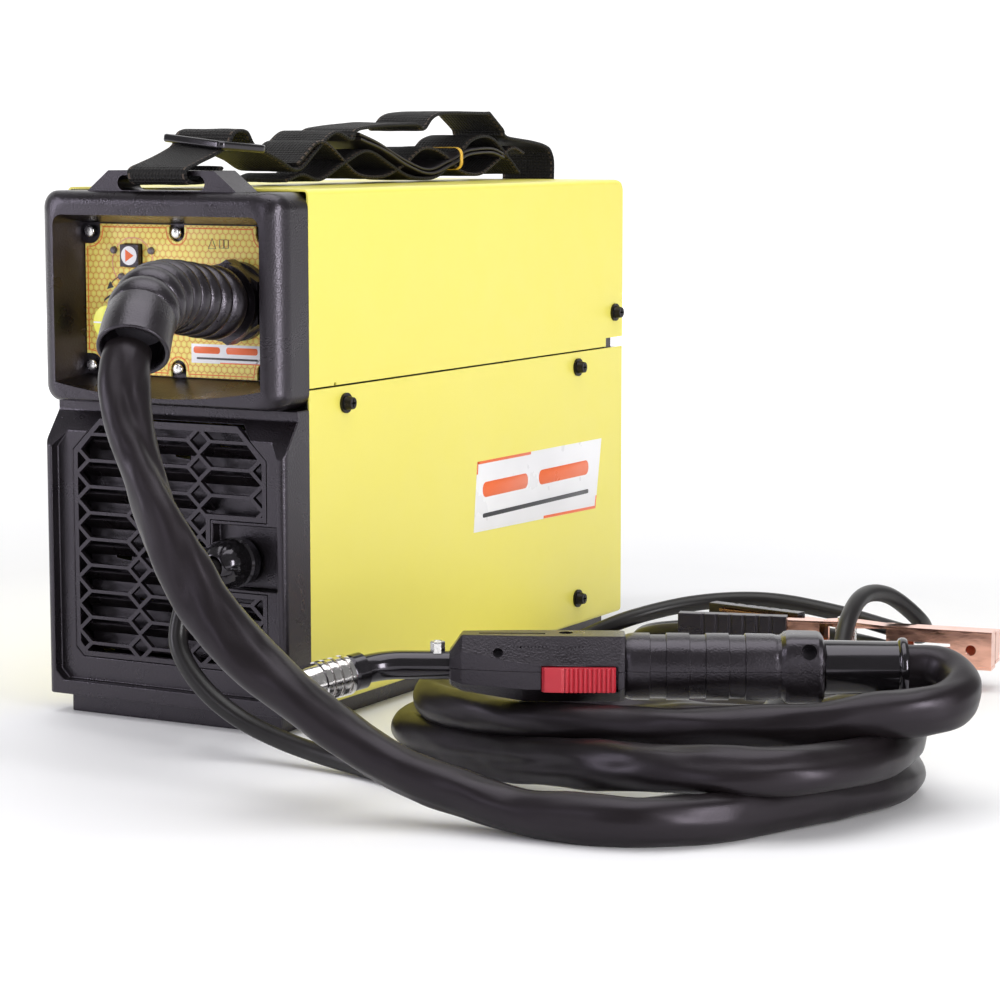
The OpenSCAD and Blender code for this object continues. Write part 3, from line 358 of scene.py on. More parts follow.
def honeycomb():
    """Printed film: gold cells with orange lines, pale in the middle of each cell."""
    look = Look("panel_print", (0.70, 0.50, 0.07), 0.33, Coat_Weight=0.3)
    pitch = 0.0037
    flat = look.place((1 / pitch, 0, 1 / pitch))
    period = (1.0, 1.0, math.sqrt(3))
    half = tuple(p / 2 for p in period)

    def nearest(shift):
        wrapped = look.vector("MODULO", look.vector("ADD", flat, shift), period)
        return look.vector("MULTIPLY", look.vector("SUBTRACT", wrapped, half), (1, 0, 1))

    far = tuple(100 * p for p in period)
    one, two = nearest(far), nearest(tuple(f + h for f, h in zip(far, half)))
    closer = look.math("LESS_THAN", look.vector("LENGTH", one, output="Value"),
                       look.vector("LENGTH", two, output="Value"))
    chosen = look.vector("ABSOLUTE", look.mix(closer, two, one))
    slanted = look.vector("DOT_PRODUCT", chosen, (0.5, 0, math.sqrt(3) / 2), "Value")
    upright = look.vector("DOT_PRODUCT", chosen, (1, 0, 0), "Value")
    reach = look.math("MAXIMUM", slanted, upright)
    centre = look.band(reach, 0.1, 0.5, 0.0, 1.0)
    cell = look.mix(centre, (0.93, 0.82, 0.22, 1), (0.84, 0.63, 0.12, 1))
    line = look.band(reach, 0.425, 0.465)
    look.feed(look.shader.inputs["Base Color"], look.mix(line, cell, (0.72, 0.3, 0.06, 1)))
    look.bump(look.noise(900, 2), 0.00002)
    return look


def webbing():
    """Woven strap: rows of yarn in a chunky basket weave, with a light thread near each edge."""
    look = Look("webbing", (0.0032, 0.0026, 0.0026), 0.62, Specular_IOR_Level=0.3)
    pitch = 0.0042
    parts = look.node("ShaderNodeSeparateXYZ", Vector=look.lay((1 / pitch, 1 / pitch, 0)))
    across, along = parts.outputs[0], parts.outputs[1]
    turn = 2 * math.pi
    slant_one = look.math("SINE", look.math("MULTIPLY", look.math("ADD", across, along), turn))
    slant_two = look.math("SINE", look.math("MULTIPLY", look.math("SUBTRACT", across, along), turn))
    yarn = look.math("MULTIPLY", slant_one, slant_two)
    fibre = look.math("MULTIPLY", look.noise(14, 4, spot=look.lay((1 / pitch, 1 / pitch, 0))), 0.8)
    look.bump(look.math("ADD", yarn, fibre), 0.0006)
    # Lighter colour on the yarn crests and darker in the hollows of the weave: painted highlight and
    # painted shade.
    crest_light = look.band(yarn, 0.1, 0.95, 0, 1)
    seam = 0.0173 / pitch
    edge = look.math("ABSOLUTE", look.math("SUBTRACT", look.math("ABSOLUTE", across), seam))
    dash = look.math("GREATER_THAN", look.math("SINE", look.math("MULTIPLY", along, turn)), -0.2)
    thread = look.math("MULTIPLY", look.math("LESS_THAN", edge, 0.14), dash)
    base = look.mix(crest_light, look.colour, (0.013, 0.0105, 0.0098, 1))
    look.feed(look.shader.inputs["Base Color"], look.mix(thread, base, (0.085, 0.062, 0.047, 1)))
    return look


def sleeve():
    """Soft sleeve of the torch cable: satin, with shallow wrinkles."""
    look = Look("torch_sleeve_vinyl", (0.006, 0.0045, 0.0048), 0.3,
                Specular_Tint=(0.95, 0.86, 1, 1), Specular_IOR_Level=0.36)
    look.bump(look.noise(34, 1), 0.0011)
    look.bump(look.noise(900, 2), 0.00004)
    look.rough(look.noise(30, 4), 0.32, 0.42)
    look.tint(look.band(look.noise(14, 3), 0.45, 0.7, 0, 0.4), (0.014, 0.011, 0.012))
    return look


def rubber():
    look = Look("cable_rubber", (0.0065, 0.0052, 0.0058), 0.36, Specular_IOR_Level=0.4)
    look.bump(look.noise(1500, 3), 0.00003)
    look.rough(look.noise(40, 4), 0.3, 0.44)
    look.tint(look.band(look.noise(25, 3), 0.45, 0.7, 0, 0.5), (0.016, 0.014, 0.015))
    return look


def circuit_board():
    look = Look("board_green", (0.012, 0.085, 0.03), 0.35, Coat_Weight=0.4)
    tracks = look.band(look.cells(220, feature="DISTANCE_TO_EDGE"), 0.03, 0.06, 1, 0)
    look.tint(tracks, (0.05, 0.2, 0.07))
    look.bump(tracks, 0.00006)
    return look


def wound_wire():
    """Copper wire laid turn by turn: ridges along x."""
    colour, pitch = (0.85, 0.45, 0.25), 0.0009
    look = Look("wire_copper", colour, 0.3, 1.0)
    turns = look.vector("DOT_PRODUCT", look.place(), (1 / pitch, 0, 0), "Value")
    ridge = look.math("SINE", look.math("MULTIPLY", turns, 2 * math.pi))
    look.bump(ridge, 0.00022)
    # Darker copper in the grooves between turns: painted shade.
    look.tint(look.band(ridge, -1, 0.2, 0.75, 0), shade_of(colour, 0.25))
    return look


def make_looks():
    cool = (0.93, 0.86, 1, 1)
    looks = [
        painted(),
        moulded("black_plastic", (0.0045, 0.0034, 0.0038), 0.29, 1000, 0.00016,
                Specular_IOR_Level=0.72, Specular_Tint=cool),
        moulded("dark_gloss_plastic", (0.0055, 0.005, 0.0055), 0.15, 500, 0.00001,
                Coat_Weight=0.3, Specular_Tint=cool),
        honeycomb(),
        moulded("knob_yellow", (0.84, 0.80, 0.09), 0.36, 900, 0.00003, Subsurface_Weight=0.1),
        moulded("led_grey", (0.16, 0.14, 0.16), 0.25, 900, 0.00001),
        metal("bright_steel", (0.78, 0.77, 0.76), 0.24),
        galvanised(),
        metal("black_steel", (0.035, 0.032, 0.035), 0.34),
        circuit_board(),
        metal("aluminium", (0.74, 0.75, 0.77), 0.32, (1, 0.05, 1)),
        moulded("ferrite", (0.045, 0.045, 0.05), 0.6),
        moulded("capacitor_blue", (0.02, 0.035, 0.12), 0.3, 900, 0.00001),
        metal("brass", (0.78, 0.56, 0.22), 0.26),
        metal("motor_grey", (0.36, 0.37, 0.39), 0.35),
        moulded("red_plastic", (0.46, 0.02, 0.035), 0.34, 1300, 0.00005),
        wound_wire(),
        metal("copper_plate", (0.86, 0.47, 0.36), 0.13, (0.3, 0.3, 1), 260, 0.00003),
        metal("chrome", (0.72, 0.7, 0.69), 0.12),
        rubber(),
        webbing(),
        moulded("band_yellow", (0.66, 0.40, 0.045), 0.45),
        sleeve(),
        moulded("smooth_tape", (0.016, 0.013, 0.015), 0.36, 700, 0.00003),
    ]
    for print_name, ink, roughness in (("white_print", (0.80, 0.80, 0.82), 0.3),
                                       ("orange_print", (0.80, 0.14, 0.03), 0.3),
                                       ("grey_print", (0.035, 0.035, 0.04), 0.35),
                                       ("pink_print", (0.80, 0.33, 0.25), 0.35)):
        looks.append(moulded(print_name, ink, roughness, 500, 0.00001))
    return {look.name: look.material for look in looks}


# ---------- mesh helpers ----------

def raw_piece(name, rings, look, matrix=None, loop=False):
    """A skin over rings of points in millimetres."""
    verts, faces = stitched(rings, loop)
    matrix = matrix or Matrix.Identity(4)
    mesh = bpy.data.meshes.new(name)
    mesh.from_pydata([tuple((matrix @ Vector(v)) * MM) for v in verts], [], faces)
    mesh.materials.append(LOOKS[look])
    return new_object(name, mesh)


def add_piece(name, rings, look="black_plastic", matrix=None, smooth=40, loop=False):
    """A skin over rings, welded, with smooth faces between its sharp edges."""
    thing = raw_piece(name, rings, look, matrix, loop)
    tidy_mesh(thing)
    soften_shading(thing, smooth)
    return thing


def tidy_mesh(thing):
    """Welds doubled points and turns all faces outwards."""
    work = bmesh.new()
    work.from_mesh(thing.data)
    bmesh.ops.remove_doubles(work, verts=work.verts, dist=WELD)
    bmesh.ops.recalc_face_normals(work, faces=work.faces)
    work.to_mesh(thing.data)
    work.free()


def soften_shading(thing, degrees):
    thing.data.shade_smooth()
    thing.data.set_sharp_from_angle(angle=math.radians(degrees))


def settle(thing):
    """Applies every modifier to the mesh."""
    held = thing.evaluated_get(bpy.context.evaluated_depsgraph_get())
    mesh = bpy.data.meshes.new_from_object(held)
    mesh.name = thing.name
    thing.modifiers.clear()
    thing.data = mesh


def rounded_edges(thing, width, segments=2, angle=28):
    """Bevels the edges sharper than an angle; width in millimetres."""
    bevel = thing.modifiers.new("edges", "BEVEL")
    bevel.width = width * MM
    bevel.segments = segments
    bevel.limit_method = "ANGLE"
    bevel.angle_limit = math.radians(angle)
    even = thing.modifiers.new("even", "WEIGHTED_NORMAL")
    even.keep_sharp = True
    thing.data.shade_smooth()
    settle(thing)
    return thing


def cut(thing, cutter, kind="DIFFERENCE"):
    """Boolean of two closed pieces; the cutter is used up."""
    step = thing.modifiers.new("cut", "BOOLEAN")
    step.operation = kind
    step.object = cutter
    step.solver = "EXACT"
    settle(thing)
    bpy.data.objects.remove(cutter)
    return thing


def softened(node, look, width, segments=2, slot=None):
    """A copy of a CAD node with rounded edges, which stands for the node."""
    mesh = NODES[node].data.copy()
    thing = new_object(node + "_finish", mesh)
    mesh.materials.clear()
    mesh.materials.append(LOOKS[look])
    work = bmesh.new()
    work.from_mesh(mesh)
    bmesh.ops.remove_doubles(work, verts=work.verts, dist=WELD)
    bmesh.ops.dissolve_limit(work, angle_limit=math.radians(1), verts=work.verts, edges=work.edges)
    work.to_mesh(mesh)
    work.free()
    rounded_edges(thing, width, segments)
    return stand_for(thing, node, slot=slot or look)


def body_of(node):
    bodies = frame["record"]["behaviour"]["bodies"]
    return next(body for body, members in bodies.items() if node in members)


def stand_for(thing, *nodes, slot=None):
    """The piece replaces these CAD nodes and rides on their body."""
    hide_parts(*nodes)
    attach(thing, body_of(nodes[0]))
    return thing


def rides_with(thing, node):
    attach(thing, body_of(node))
    return thing


def stitched(rings, loop):
    """Vertices and faces of a skin over rings of points."""
    count, sides = len(rings), len(rings[0])
    verts = [p for ring in rings for p in ring]
    faces = []
    for i in range(count if loop else count - 1):
        j = (i + 1) % count
        for k in range(sides):
            n = (k + 1) % sides
            faces.append((i * sides + k, i * sides + n, j * sides + n, j * sides + k))
    if not loop:
        faces.append(tuple(range(sides))[::-1])
        faces.append(tuple((count - 1) * sides + k for k in range(sides)))
    return verts, faces


def smooth_line(points, steps):
    """Catmull-Rom line through points, with the same number of steps between each two."""
    line = [Vector(p) for p in points]
    line = [2 * line[0] - line[1], *line, 2 * line[-1] - line[-2]]
    made = []
    for a, b, c, d in zip(line, line[1:], line[2:], line[3:]):
        for i in range(steps):
            t = i / steps
            made.append(0.5 * (2 * b + (c - a) * t + (2 * a - 5 * b + 4 * c - d) * t * t
                               + (3 * b - a - 3 * c + d) * t ** 3))
    made.append(line[-2])
    return made


def frames_along(line):
    """Place, direction and two square vectors at each point, carried along without twist."""
    made = []
    side = None
    for i, at in enumerate(line):
        ahead = (line[min(i + 1, len(line) - 1)] - line[max(i - 1, 0)]).normalized()
        if side is None:
            up = (0, 0, 1) if abs(ahead.z) < 0.95 else (0, 1, 0)
            side = ahead.cross(Vector(up)).normalized()
        side = (side - ahead * side.dot(ahead)).normalized()
        made.append((at, ahead, side, side.cross(ahead)))
    return made


def lengths_along(line):
    """Length of a line up to each of its points."""
    total, made = 0.0, [0.0]
    for a, b in zip(line, line[1:]):
        total += (b - a).length
        made.append(total)
    return made


def swept(line, radius, sides):
    """Rings round a line; radius(angle, i) is in millimetres."""
    rings = []
    for i, (at, ahead, side, top) in enumerate(frames_along(line)):
        ring = []
        for k in range(sides):
            turn = 2 * math.pi * k / sides
            reach = radius(turn, i)
            ring.append(at + side * (reach * math.cos(turn)) + top * (reach * math.sin(turn)))
        rings.append(ring)
    return rings


def turned(name, profile, look="black_plastic", at=(0, 0, 0), axis="X", sides=64, matrix=None,
           smooth=40):
    """A turned part: profile is a list of (along, radius) round an axis through a point."""
    rings = []
    for along, reach in profile:
        ring = []
        for k in range(sides):
            turn = 2 * math.pi * k / sides
            c, s = max(reach, 0.001) * math.cos(turn), max(reach, 0.001) * math.sin(turn)
            spot = {"X": (along, c, s), "Y": (s, along, c), "Z": (c, s, along)}[axis]
            ring.append(Vector(at) + Vector(spot))
        rings.append(ring)
    return add_piece(name, rings, look, matrix, smooth)


def bar(name, start, stop, radius, **placed):
    """A turned solid of one radius."""
    return turned(name, [(start, 0), (start, radius), (stop, radius), (stop, 0)], **placed)


def plate(name, outlines, thickness, bevel, look, matrix, resolution=3):
    """A flat plate from closed 2D outlines, inner ones as holes; its back lies on the matrix's xy."""
    data = bpy.data.curves.new(name, "CURVE")
    data.dimensions = "2D"
    data.fill_mode = "BOTH"
    data.extrude = (thickness / 2 - bevel) * MM
    data.bevel_depth = bevel * MM
    data.offset = -bevel * MM
    data.bevel_resolution = resolution
    for outline in outlines:
        spline = data.splines.new("POLY")
        spline.points.add(len(outline) - 1)
        for point, (x, y) in zip(spline.points, outline):
            point.co = (x * MM, y * MM, 0, 1)
        spline.use_cyclic_u = True
    drawn = new_object(name + "_curve", data)
    held = drawn.evaluated_get(bpy.context.evaluated_depsgraph_get())
    mesh = bpy.data.meshes.new_from_object(held)
    bpy.data.objects.remove(drawn)
    scaled = matrix @ Matrix.Translation(Vector((0, 0, thickness / 2)))
    scaled.translation = scaled.translation * MM
    mesh.transform(scaled)
    mesh.materials.clear()
    mesh.materials.append(LOOKS[look])
    mesh.name = name
    thing = new_object(name, mesh)
    tidy_mesh(thing)
    soften_shading(thing, 35)
    return thing


def joined(things, name):
    """One object from several."""
    with bpy.context.temp_override(active_object=things[0], selected_editable_objects=things):
        bpy.ops.object.join()
    things[0].name = name
    things[0].data.name = name
    return things[0]


def arc(cx, cy, radius, start, stop, count):
    """Points of an arc in the plane, angles in degrees."""
    return [(cx + radius * math.cos(math.radians(start + (stop - start) * i / count)),
             cy + radius * math.sin(math.radians(start + (stop - start) * i / count)))
            for i in range(count + 1)]


def rounded_box(x0, y0, x1, y1, r, count=6):
    """Outline of a rectangle with round corners."""
    return (arc(x1 - r, y1 - r, r, 0, 90, count) + arc(x0 + r, y1 - r, r, 90, 180, count)
            + arc(x0 + r, y0 + r, r, 180, 270, count) + arc(x1 - r, y0 + r, r, 270, 360, count))


def stroke(points, width, closed=False):
    """Outline of a line of some width, as one closed outline or as a ring of two."""
    sides = []
    for sign in (1, -1):
        side = []
        count = len(points)
        for i, (x, y) in enumerate(points):
            before = points[i - 1] if closed or i else points[i]
            after = points[(i + 1) % count] if closed or i < count - 1 else points[i]
            dx, dy = after[0] - before[0], after[1] - before[1]
            size = math.hypot(dx, dy) or 1
            side.append((x - sign * dy / size * width / 2, y + sign * dx / size * width / 2))
        sides.append(side)
    return sides if closed else [sides[0] + sides[1][::-1]]


def front_plane(y, x=0, z=0):
    """Drawing plane that faces -Y: its x is the machine's x and its y is the machine's z."""
    return Matrix.Translation(Vector((x, y, z))) @ Matrix.Rotation(math.radians(90), 4, "X")


def side_plane(x):
    """Drawing plane that faces +X: its x is the machine's y and its y is the machine's z."""
    return Matrix.Translation(Vector((x, 0, 0))) @ Matrix(
        ((0, 0, 1, 0), (1, 0, 0, 0), (0, 1, 0, 0), (0, 0, 0, 1)))


# ---------- cables ----------

def keep_lay(thing, values):
    """Stores coordinates for the weave or creases in the mesh."""
    held = thing.data.attributes.new("lay", "FLOAT_VECTOR", "POINT")
    held.data.foreach_set("vector", np.array(values, np.float32).ravel())


def tube_piece(name, line, radius, sides, look):
    thing = raw_piece(name, swept(line, radius, sides), look)
    reach = lengths_along(line)
    keep_lay(thing, [(math.cos(2 * math.pi * k / sides) * 0.01, reach[i] * MM,
                      math.sin(2 * math.pi * k / sides) * 0.01)
                     for i in range(len(line)) for k in range(sides)])
    soften_shading(thing, 50)
    return thing


def make_torch_cable():
    """Sleeve over the torch lead: a soft tube, flattened and creased along a slow twist."""
    line = smooth_line(TORCH_ROUTE, 8)
    reach = lengths_along(line)

    def radius(turn, i):
        s = reach[i]
        twist = s / 70 + 1.3 * math.sin(s / 120)
        away = (turn - 0.8 * twist - 1.2 + math.pi) % (2 * math.pi) - math.pi
        crease = 0.2 * math.exp(-(away / 0.4) ** 2) * (0.55 + 0.45 * math.sin(s / 37))
        spot = Vector((math.cos(turn + twist) * 0.8, math.sin(turn + twist) * 0.8, s / 42))
        fold = 0.15 * noise.noise(spot) + 0.05 * noise.noise(spot * 2.5)
        flat = 0.11 * math.cos(2 * (turn - twist))
        neat = min(1.0, s / 25, (reach[-1] - s) / 18)
        core = 10.6 + 1.2 * max(0, 1 - abs(s - 150) / 260)
        return core * max(0.7, 1.03 + (flat + fold - crease) * (0.3 + 0.7 * neat))

    piece = tube_piece("torch_sleeve", line, radius, 48, "torch_sleeve_vinyl")
    for vertex in piece.data.vertices:
        vertex.co.z = max(vertex.co.z, 0.0002)
    stand_for(piece, "torch_cable", slot="cable_rubber")
    return piece, [p * MM for p in line]


def make_earth_cable():
    line = smooth_line(EARTH_ROUTE, 8)

    def radius(turn, i):
        return 5.0 * (1 + 0.012 * noise.noise(Vector((math.cos(turn), math.sin(turn), i / 9))))

    piece = tube_piece("earth_lead", line, radius, 24, "cable_rubber")
    stand_for(piece, "earth_cable", slot="cable_rubber")
    return piece, [p * MM for p in line]


# ---------- case ----------

def make_case():
    """Edges of the sheet covers, the mouldings and the plinth."""
    for row in (("base_skid", "black_plastic", 1.0), ("lower_cover", "yellow_paint", 0.35),
                ("upper_cover", "yellow_paint", 0.35), ("front_housing", "black_plastic", 0.7, 3),
                ("front_grille", "black_plastic", 0.42, 3)):
        softened(*row)
    make_bezel()
    for row in (("strap_lugs", "black_plastic", 0.7, 3), ("rear_panel", "black_plastic", 0.5),
                ("rear_grille", "black_plastic", 0.4),
                ("power_switch", "dark_gloss_plastic", 0.5, 3, "black_plastic"),
                ("cover_screws", "black_steel", 0.22), ("mains_gland", "dark_gloss_plastic", 0.5),
                ("gas_inlet", "brass", 0.25)):
        softened(*row)


def hull_piece(name, points):
    """Convex hull of points, used as a cutter."""
    mesh = bpy.data.meshes.new(name)
    work = bmesh.new()
    for point in points:
        work.verts.new(Vector(point) * MM)
    made = bmesh.ops.convex_hull(work, input=work.verts)
    bmesh.ops.delete(work, geom=made["geom_interior"], context="VERTS")
    work.to_mesh(mesh)
    work.free()
    mesh.materials.append(LOOKS["black_plastic"])
    return new_object(name, mesh)


def make_bezel():
    """Deep bezel with rounded outer edges, a curved sill and the seat of the panel."""
    low, high = BEZEL_LOW, BEZEL_HIGH
    side, top = 13.0, 7.5
    rings = []
    for k in range(17):
        behind = side * (1 - math.cos(math.radians(90 * k / 16)))
        in_x = side - math.sqrt(side ** 2 - (side - behind) ** 2)
        share = min(behind, top)
        in_z = top - math.sqrt(top ** 2 - (top - share) ** 2)
        outline = rounded_box(low[0] + in_x, low[2] + in_z * 0.35, high[0] - in_x,
                              high[2] - in_z, 9, 10)
        rings.append([(x, low[1] + behind, z) for x, z in outline])
    rings.append([(x, high[1], z) for x, z in rounded_box(low[0], low[2], high[0], high[2], 9, 10)])
    bezel = add_piece("bezel", rings)
    mouth = [(x, 177 + 6.5 * (x / 66.5) ** 2) for x in np.linspace(-66.5, 66.5, 25)]
    mouth += arc(60.5, 268, 6, 0, 90, 6) + arc(-60.5, 268, 6, 90, 180, 6)
    seat_x, seat_low, seat_top = 61.2, 186.8, 269.2
    seat = [(-seat_x, seat_low), (seat_x, seat_low), (seat_x, seat_top), (-seat_x, seat_top)]
    cut(bezel, hull_piece("mouth", [(x, low[1] - 0.5, z) for x, z in mouth]
                          + [(x, PANEL_Y, z) for x, z in seat]))
    cut(bezel, box_piece("seat", (-seat_x, PANEL_Y - 0.5, seat_low),
                         (seat_x, PANEL_Y + 2.1, seat_top)))
    cut(bezel, box_piece("opening", (-54, PANEL_Y, 197), (54, high[1] + 1, 259)))
    rounded_edges(bezel, 1.3, 4, 40)
    stand_for(bezel, "front_bezel", slot="black_plastic")


def make_grille_shade_plate():
    """Dark plate behind the grille, painted shade standing in for the dark inside of the case, with a few
    slots that let the yellow inside show.
    """
    low, high = box_mm("front_grille")
    holes = []
    for x, z in ((-0.12, 0.8), (0.02, 0.86), (0.06, 0.66), (0.12, 0.5), (-0.1, 0.6),
                 (-0.02, 0.36), (-0.3, 0.42), (0.25, 0.9), (-0.18, 0.24)):
        cx = (low[0] + high[0]) / 2 + x * (high[0] - low[0])
        cz = low[2] + z * (high[2] - low[2])
        holes.append([(cx - 5, cz - 1.2), (cx + 5, cz - 2.4), (cx + 5, cz + 0.2),
                      (cx - 5, cz + 1.4)])
    outline = rounded_box(low[0] + 3, low[2] + 3, high[0] - 3, high[2] - 3, 8)
    sheet = plate("grille_shade_plate", [outline, *holes], 0.8, 0.1, "black_plastic",
                  front_plane(high[1] + 1.5))
    rides_with(sheet, "front_grille")


def make_label():
    """Plain white label on the right side, with an orange bar at two of its corners."""
    side = CASE_HIGH[0] + 0.02
    corners = [(-4.4, 126.8), (156, 125.9), (147.9, 82.2), (-8.7, 85.5)]
    label = plate("side_label", [corners], 0.16, 0.05, "white_print", side_plane(side), 1)
    rides_with(label, "lower_cover")
    top = [(-4.4, 126.8), (62, 126.45), (61.6, 124.8), (-4.0, 125.2)]
    low = [(78, 83.8), (147.9, 82.2), (148.2, 83.9), (78.3, 85.5)]
    left = [(-4.4, 126.8), (-3.2, 126.8), (-3.7, 119.4), (-5.2, 119.4)]
    right = [(148.1, 83.3), (149.4, 90.3), (148.1, 90.3), (146.9, 83.3)]
    bars = [plate(f"side_label_bar{i}", [points], 0.1, 0.03, "orange_print",
                  side_plane(side + 0.14), 1) for i, points in enumerate((top, low, left, right))]
    rides_with(joined(bars, "side_label_bars"), "lower_cover")
    rules = [plate(f"side_label_rule{i}", [rounded_box(x0, z, x1, z + h, h * 0.45)], 0.08, 0.02,
                   look, side_plane(side + 0.14), 1)
             for i, (x0, x1, z, h, look) in enumerate([
                 (2, 58, 105, 9, "orange_print"), (72, 138, 105, 9, "orange_print"),
                 (2, 138, 93, 2.6, "grey_print")])]
    rides_with(joined(rules, "side_label_rules"), "lower_cover")


# ---------- control panel ----------

SCREW_X = (-57, 0, 57)
SCREW_Z = (191.5, 264.5)


def panel_outline(inset):
    """Outline of the film: notched corners and a notch at each middle screw."""
    x, z0, z1 = 60.6 - inset, 187.4 + inset, 268.6 - inset
    corner, middle = 6.6 + inset, 4.9 + inset
    left, centre, right = SCREW_X
    low, top = SCREW_Z
    return [(right - corner, z1), *arc(right, top, corner, 180, 270, 8), (x, top - corner),
            (x, low + corner), *arc(right, low, corner, 90, 180, 8), (right - corner, z0),
            (middle, z0), *arc(centre, low, middle, 0, 180, 12), (-middle, z0),
            (left + corner, z0), *arc(left, low, corner, 0, 90, 8), (-x, low + corner),
            (-x, top - corner), *arc(left, top, corner, 270, 360, 8), (left + corner, z1),
            (-middle, z1), *arc(centre, top, middle, 180, 360, 12), (middle, z1)]


def make_panel():
    """Printed film with its marks, over the panel plate."""
    leds = [(-41.3, 254.5), (-16.7, 254.5), (-36.4, 240.3), (-21.6, 240.3)]
    holes = [arc(x, z, 2.05, 0, 352, 22) for x, z in leds]
    half = 6.4
    holes.append(rounded_box(BUTTON_X - half, BUTTON_Z - half, BUTTON_X + half, BUTTON_Z + half,
                             0.8, 3))
    holes.append(arc(KNOB_X, KNOB_Z, 3.7, 0, 352, 22))
    holes.append(arc(NUT_X, NUT_Z, 13.9, 0, 354, 40))
    film = plate("panel_film", [panel_outline(0), *holes], 1.6, 0.12, "panel_print",
                 front_plane(PANEL_Y + 1.7))
    stand_for(film, "control_panel", slot="panel_print")
    ink_plane = front_plane(PANEL_Y + 0.1)

    def ink(name, outlines, look="grey_print"):
        return plate(name, outlines, 0.14, 0.02, look, ink_plane, 1)

    border = ink("panel_border", stroke(panel_outline(1.7), 0.5, True), "orange_print")
    rides_with(border, "control_panel")
    ring = [ink(f"selector_ring{start}", stroke(arc(-29, 248, 13.4, start, stop, 20), 0.5), "pink_print")
            for start, stop in ((38, 142), (150, 224), (236, 304), (316, 390))]
    rides_with(joined(ring, "selector_ring"), "control_panel")
    tip_x, tip_z = -46.5, 233.2
    triangle = [(20.4, 256.4), (25.1, 256.4), (22.75, 261.8)]
    marks = [
        ink("scale_wedge", [arc(KNOB_X, KNOB_Z, 15.6, 40, 132, 20)
                            + arc(KNOB_X - 0.7, KNOB_Z - 0.5, 14.6, 132, 40, 20)]),
        ink("arrow_head", [[(tip_x, tip_z), (tip_x + 4.6, tip_z + 1.2), (tip_x + 2.2, tip_z + 4.4)]]),
        ink("arrow_line", stroke(arc(-29, 222, 20.5, 136, 112, 8), 0.5)),
        ink("triangle_mark", stroke(triangle, 0.45, True)),
    ]
    for x in (27.6, 30.4):
        page = [(x, 256.8), (x + 2.6, 256.8), (x + 2.6, 261.2), (x, 261.2)]
        marks.append(ink(f"page_mark{x}", stroke(page, 0.45, True)))
    rides_with(joined(marks, "panel_marks"), "control_panel")
    label = [(8.6, 195.4), (53.6, 195.4), (53.6, 205.6), (8.6, 205.6)]
    rides_with(ink("panel_label", [label], "white_print"), "control_panel")
    bars = [plate(f"panel_label_bar{i}", [rounded_box(x0, z, x1, z + h, h * 0.4)], 0.08, 0.02, look,
                  front_plane(PANEL_Y - 0.03), 1)
            for i, (x0, x1, z, h, look) in enumerate([
                (10, 27, 200.6, 3.6, "orange_print"), (31, 51, 200.6, 3.6, "orange_print"),
                (12, 51, 197.4, 1.1, "grey_print"), (27, 53.6, 195.4, 0.6, "orange_print")])]
    rides_with(joined(bars, "panel_label_bars"), "control_panel")


def cross_cutter(name, size, depth, width, matrix):
    """Two crossed tapered bars, for the recess of a screw."""
    bars = []
    for i in range(2):
        rings = []
        for z, share in ((-depth, 0.45), (1.0, 1.15)):
            l, w = size * share, width * (0.5 + 0.5 * share)
            rings.append([(-l, -w, z), (l, -w, z), (l, w, z), (-l, w, z)])
        turn = Matrix.Rotation(math.radians(90 * i), 4, "Z")
        bars.append(add_piece(f"{name}{i}", rings, "bright_steel", matrix @ turn))
    return cut(bars[0], bars[1], "UNION")


def make_panel_screws():
    """Six silver pan head screws with a cross recess."""
    screws = []
    tilt = 0
    for x in SCREW_X:
        for z in SCREW_Z:
            tilt += 23
            at = front_plane(PANEL_Y, x, z)
            dome = [(-5, 0), (-5, 1.5), (0, 1.5), (0, 3.15), (0.7, 3.2), (1.3, 2.9), (1.75, 2.2),
                    (1.95, 1.2), (2.0, 0)]
            screw = turned("panel_screw", dome, "bright_steel", axis="Z", sides=40, matrix=at)
            cross = cross_cutter("recess", 2.0, -0.75, 0.38,
                                 at @ Matrix.Rotation(math.radians(tilt), 4, "Z"))
            cut(screw, cross)
            soften_shading(screw, 35)
            screws.append(screw)
    stand_for(joined(screws, "panel_screw_heads"), "panel_screws", slot="bright_steel")


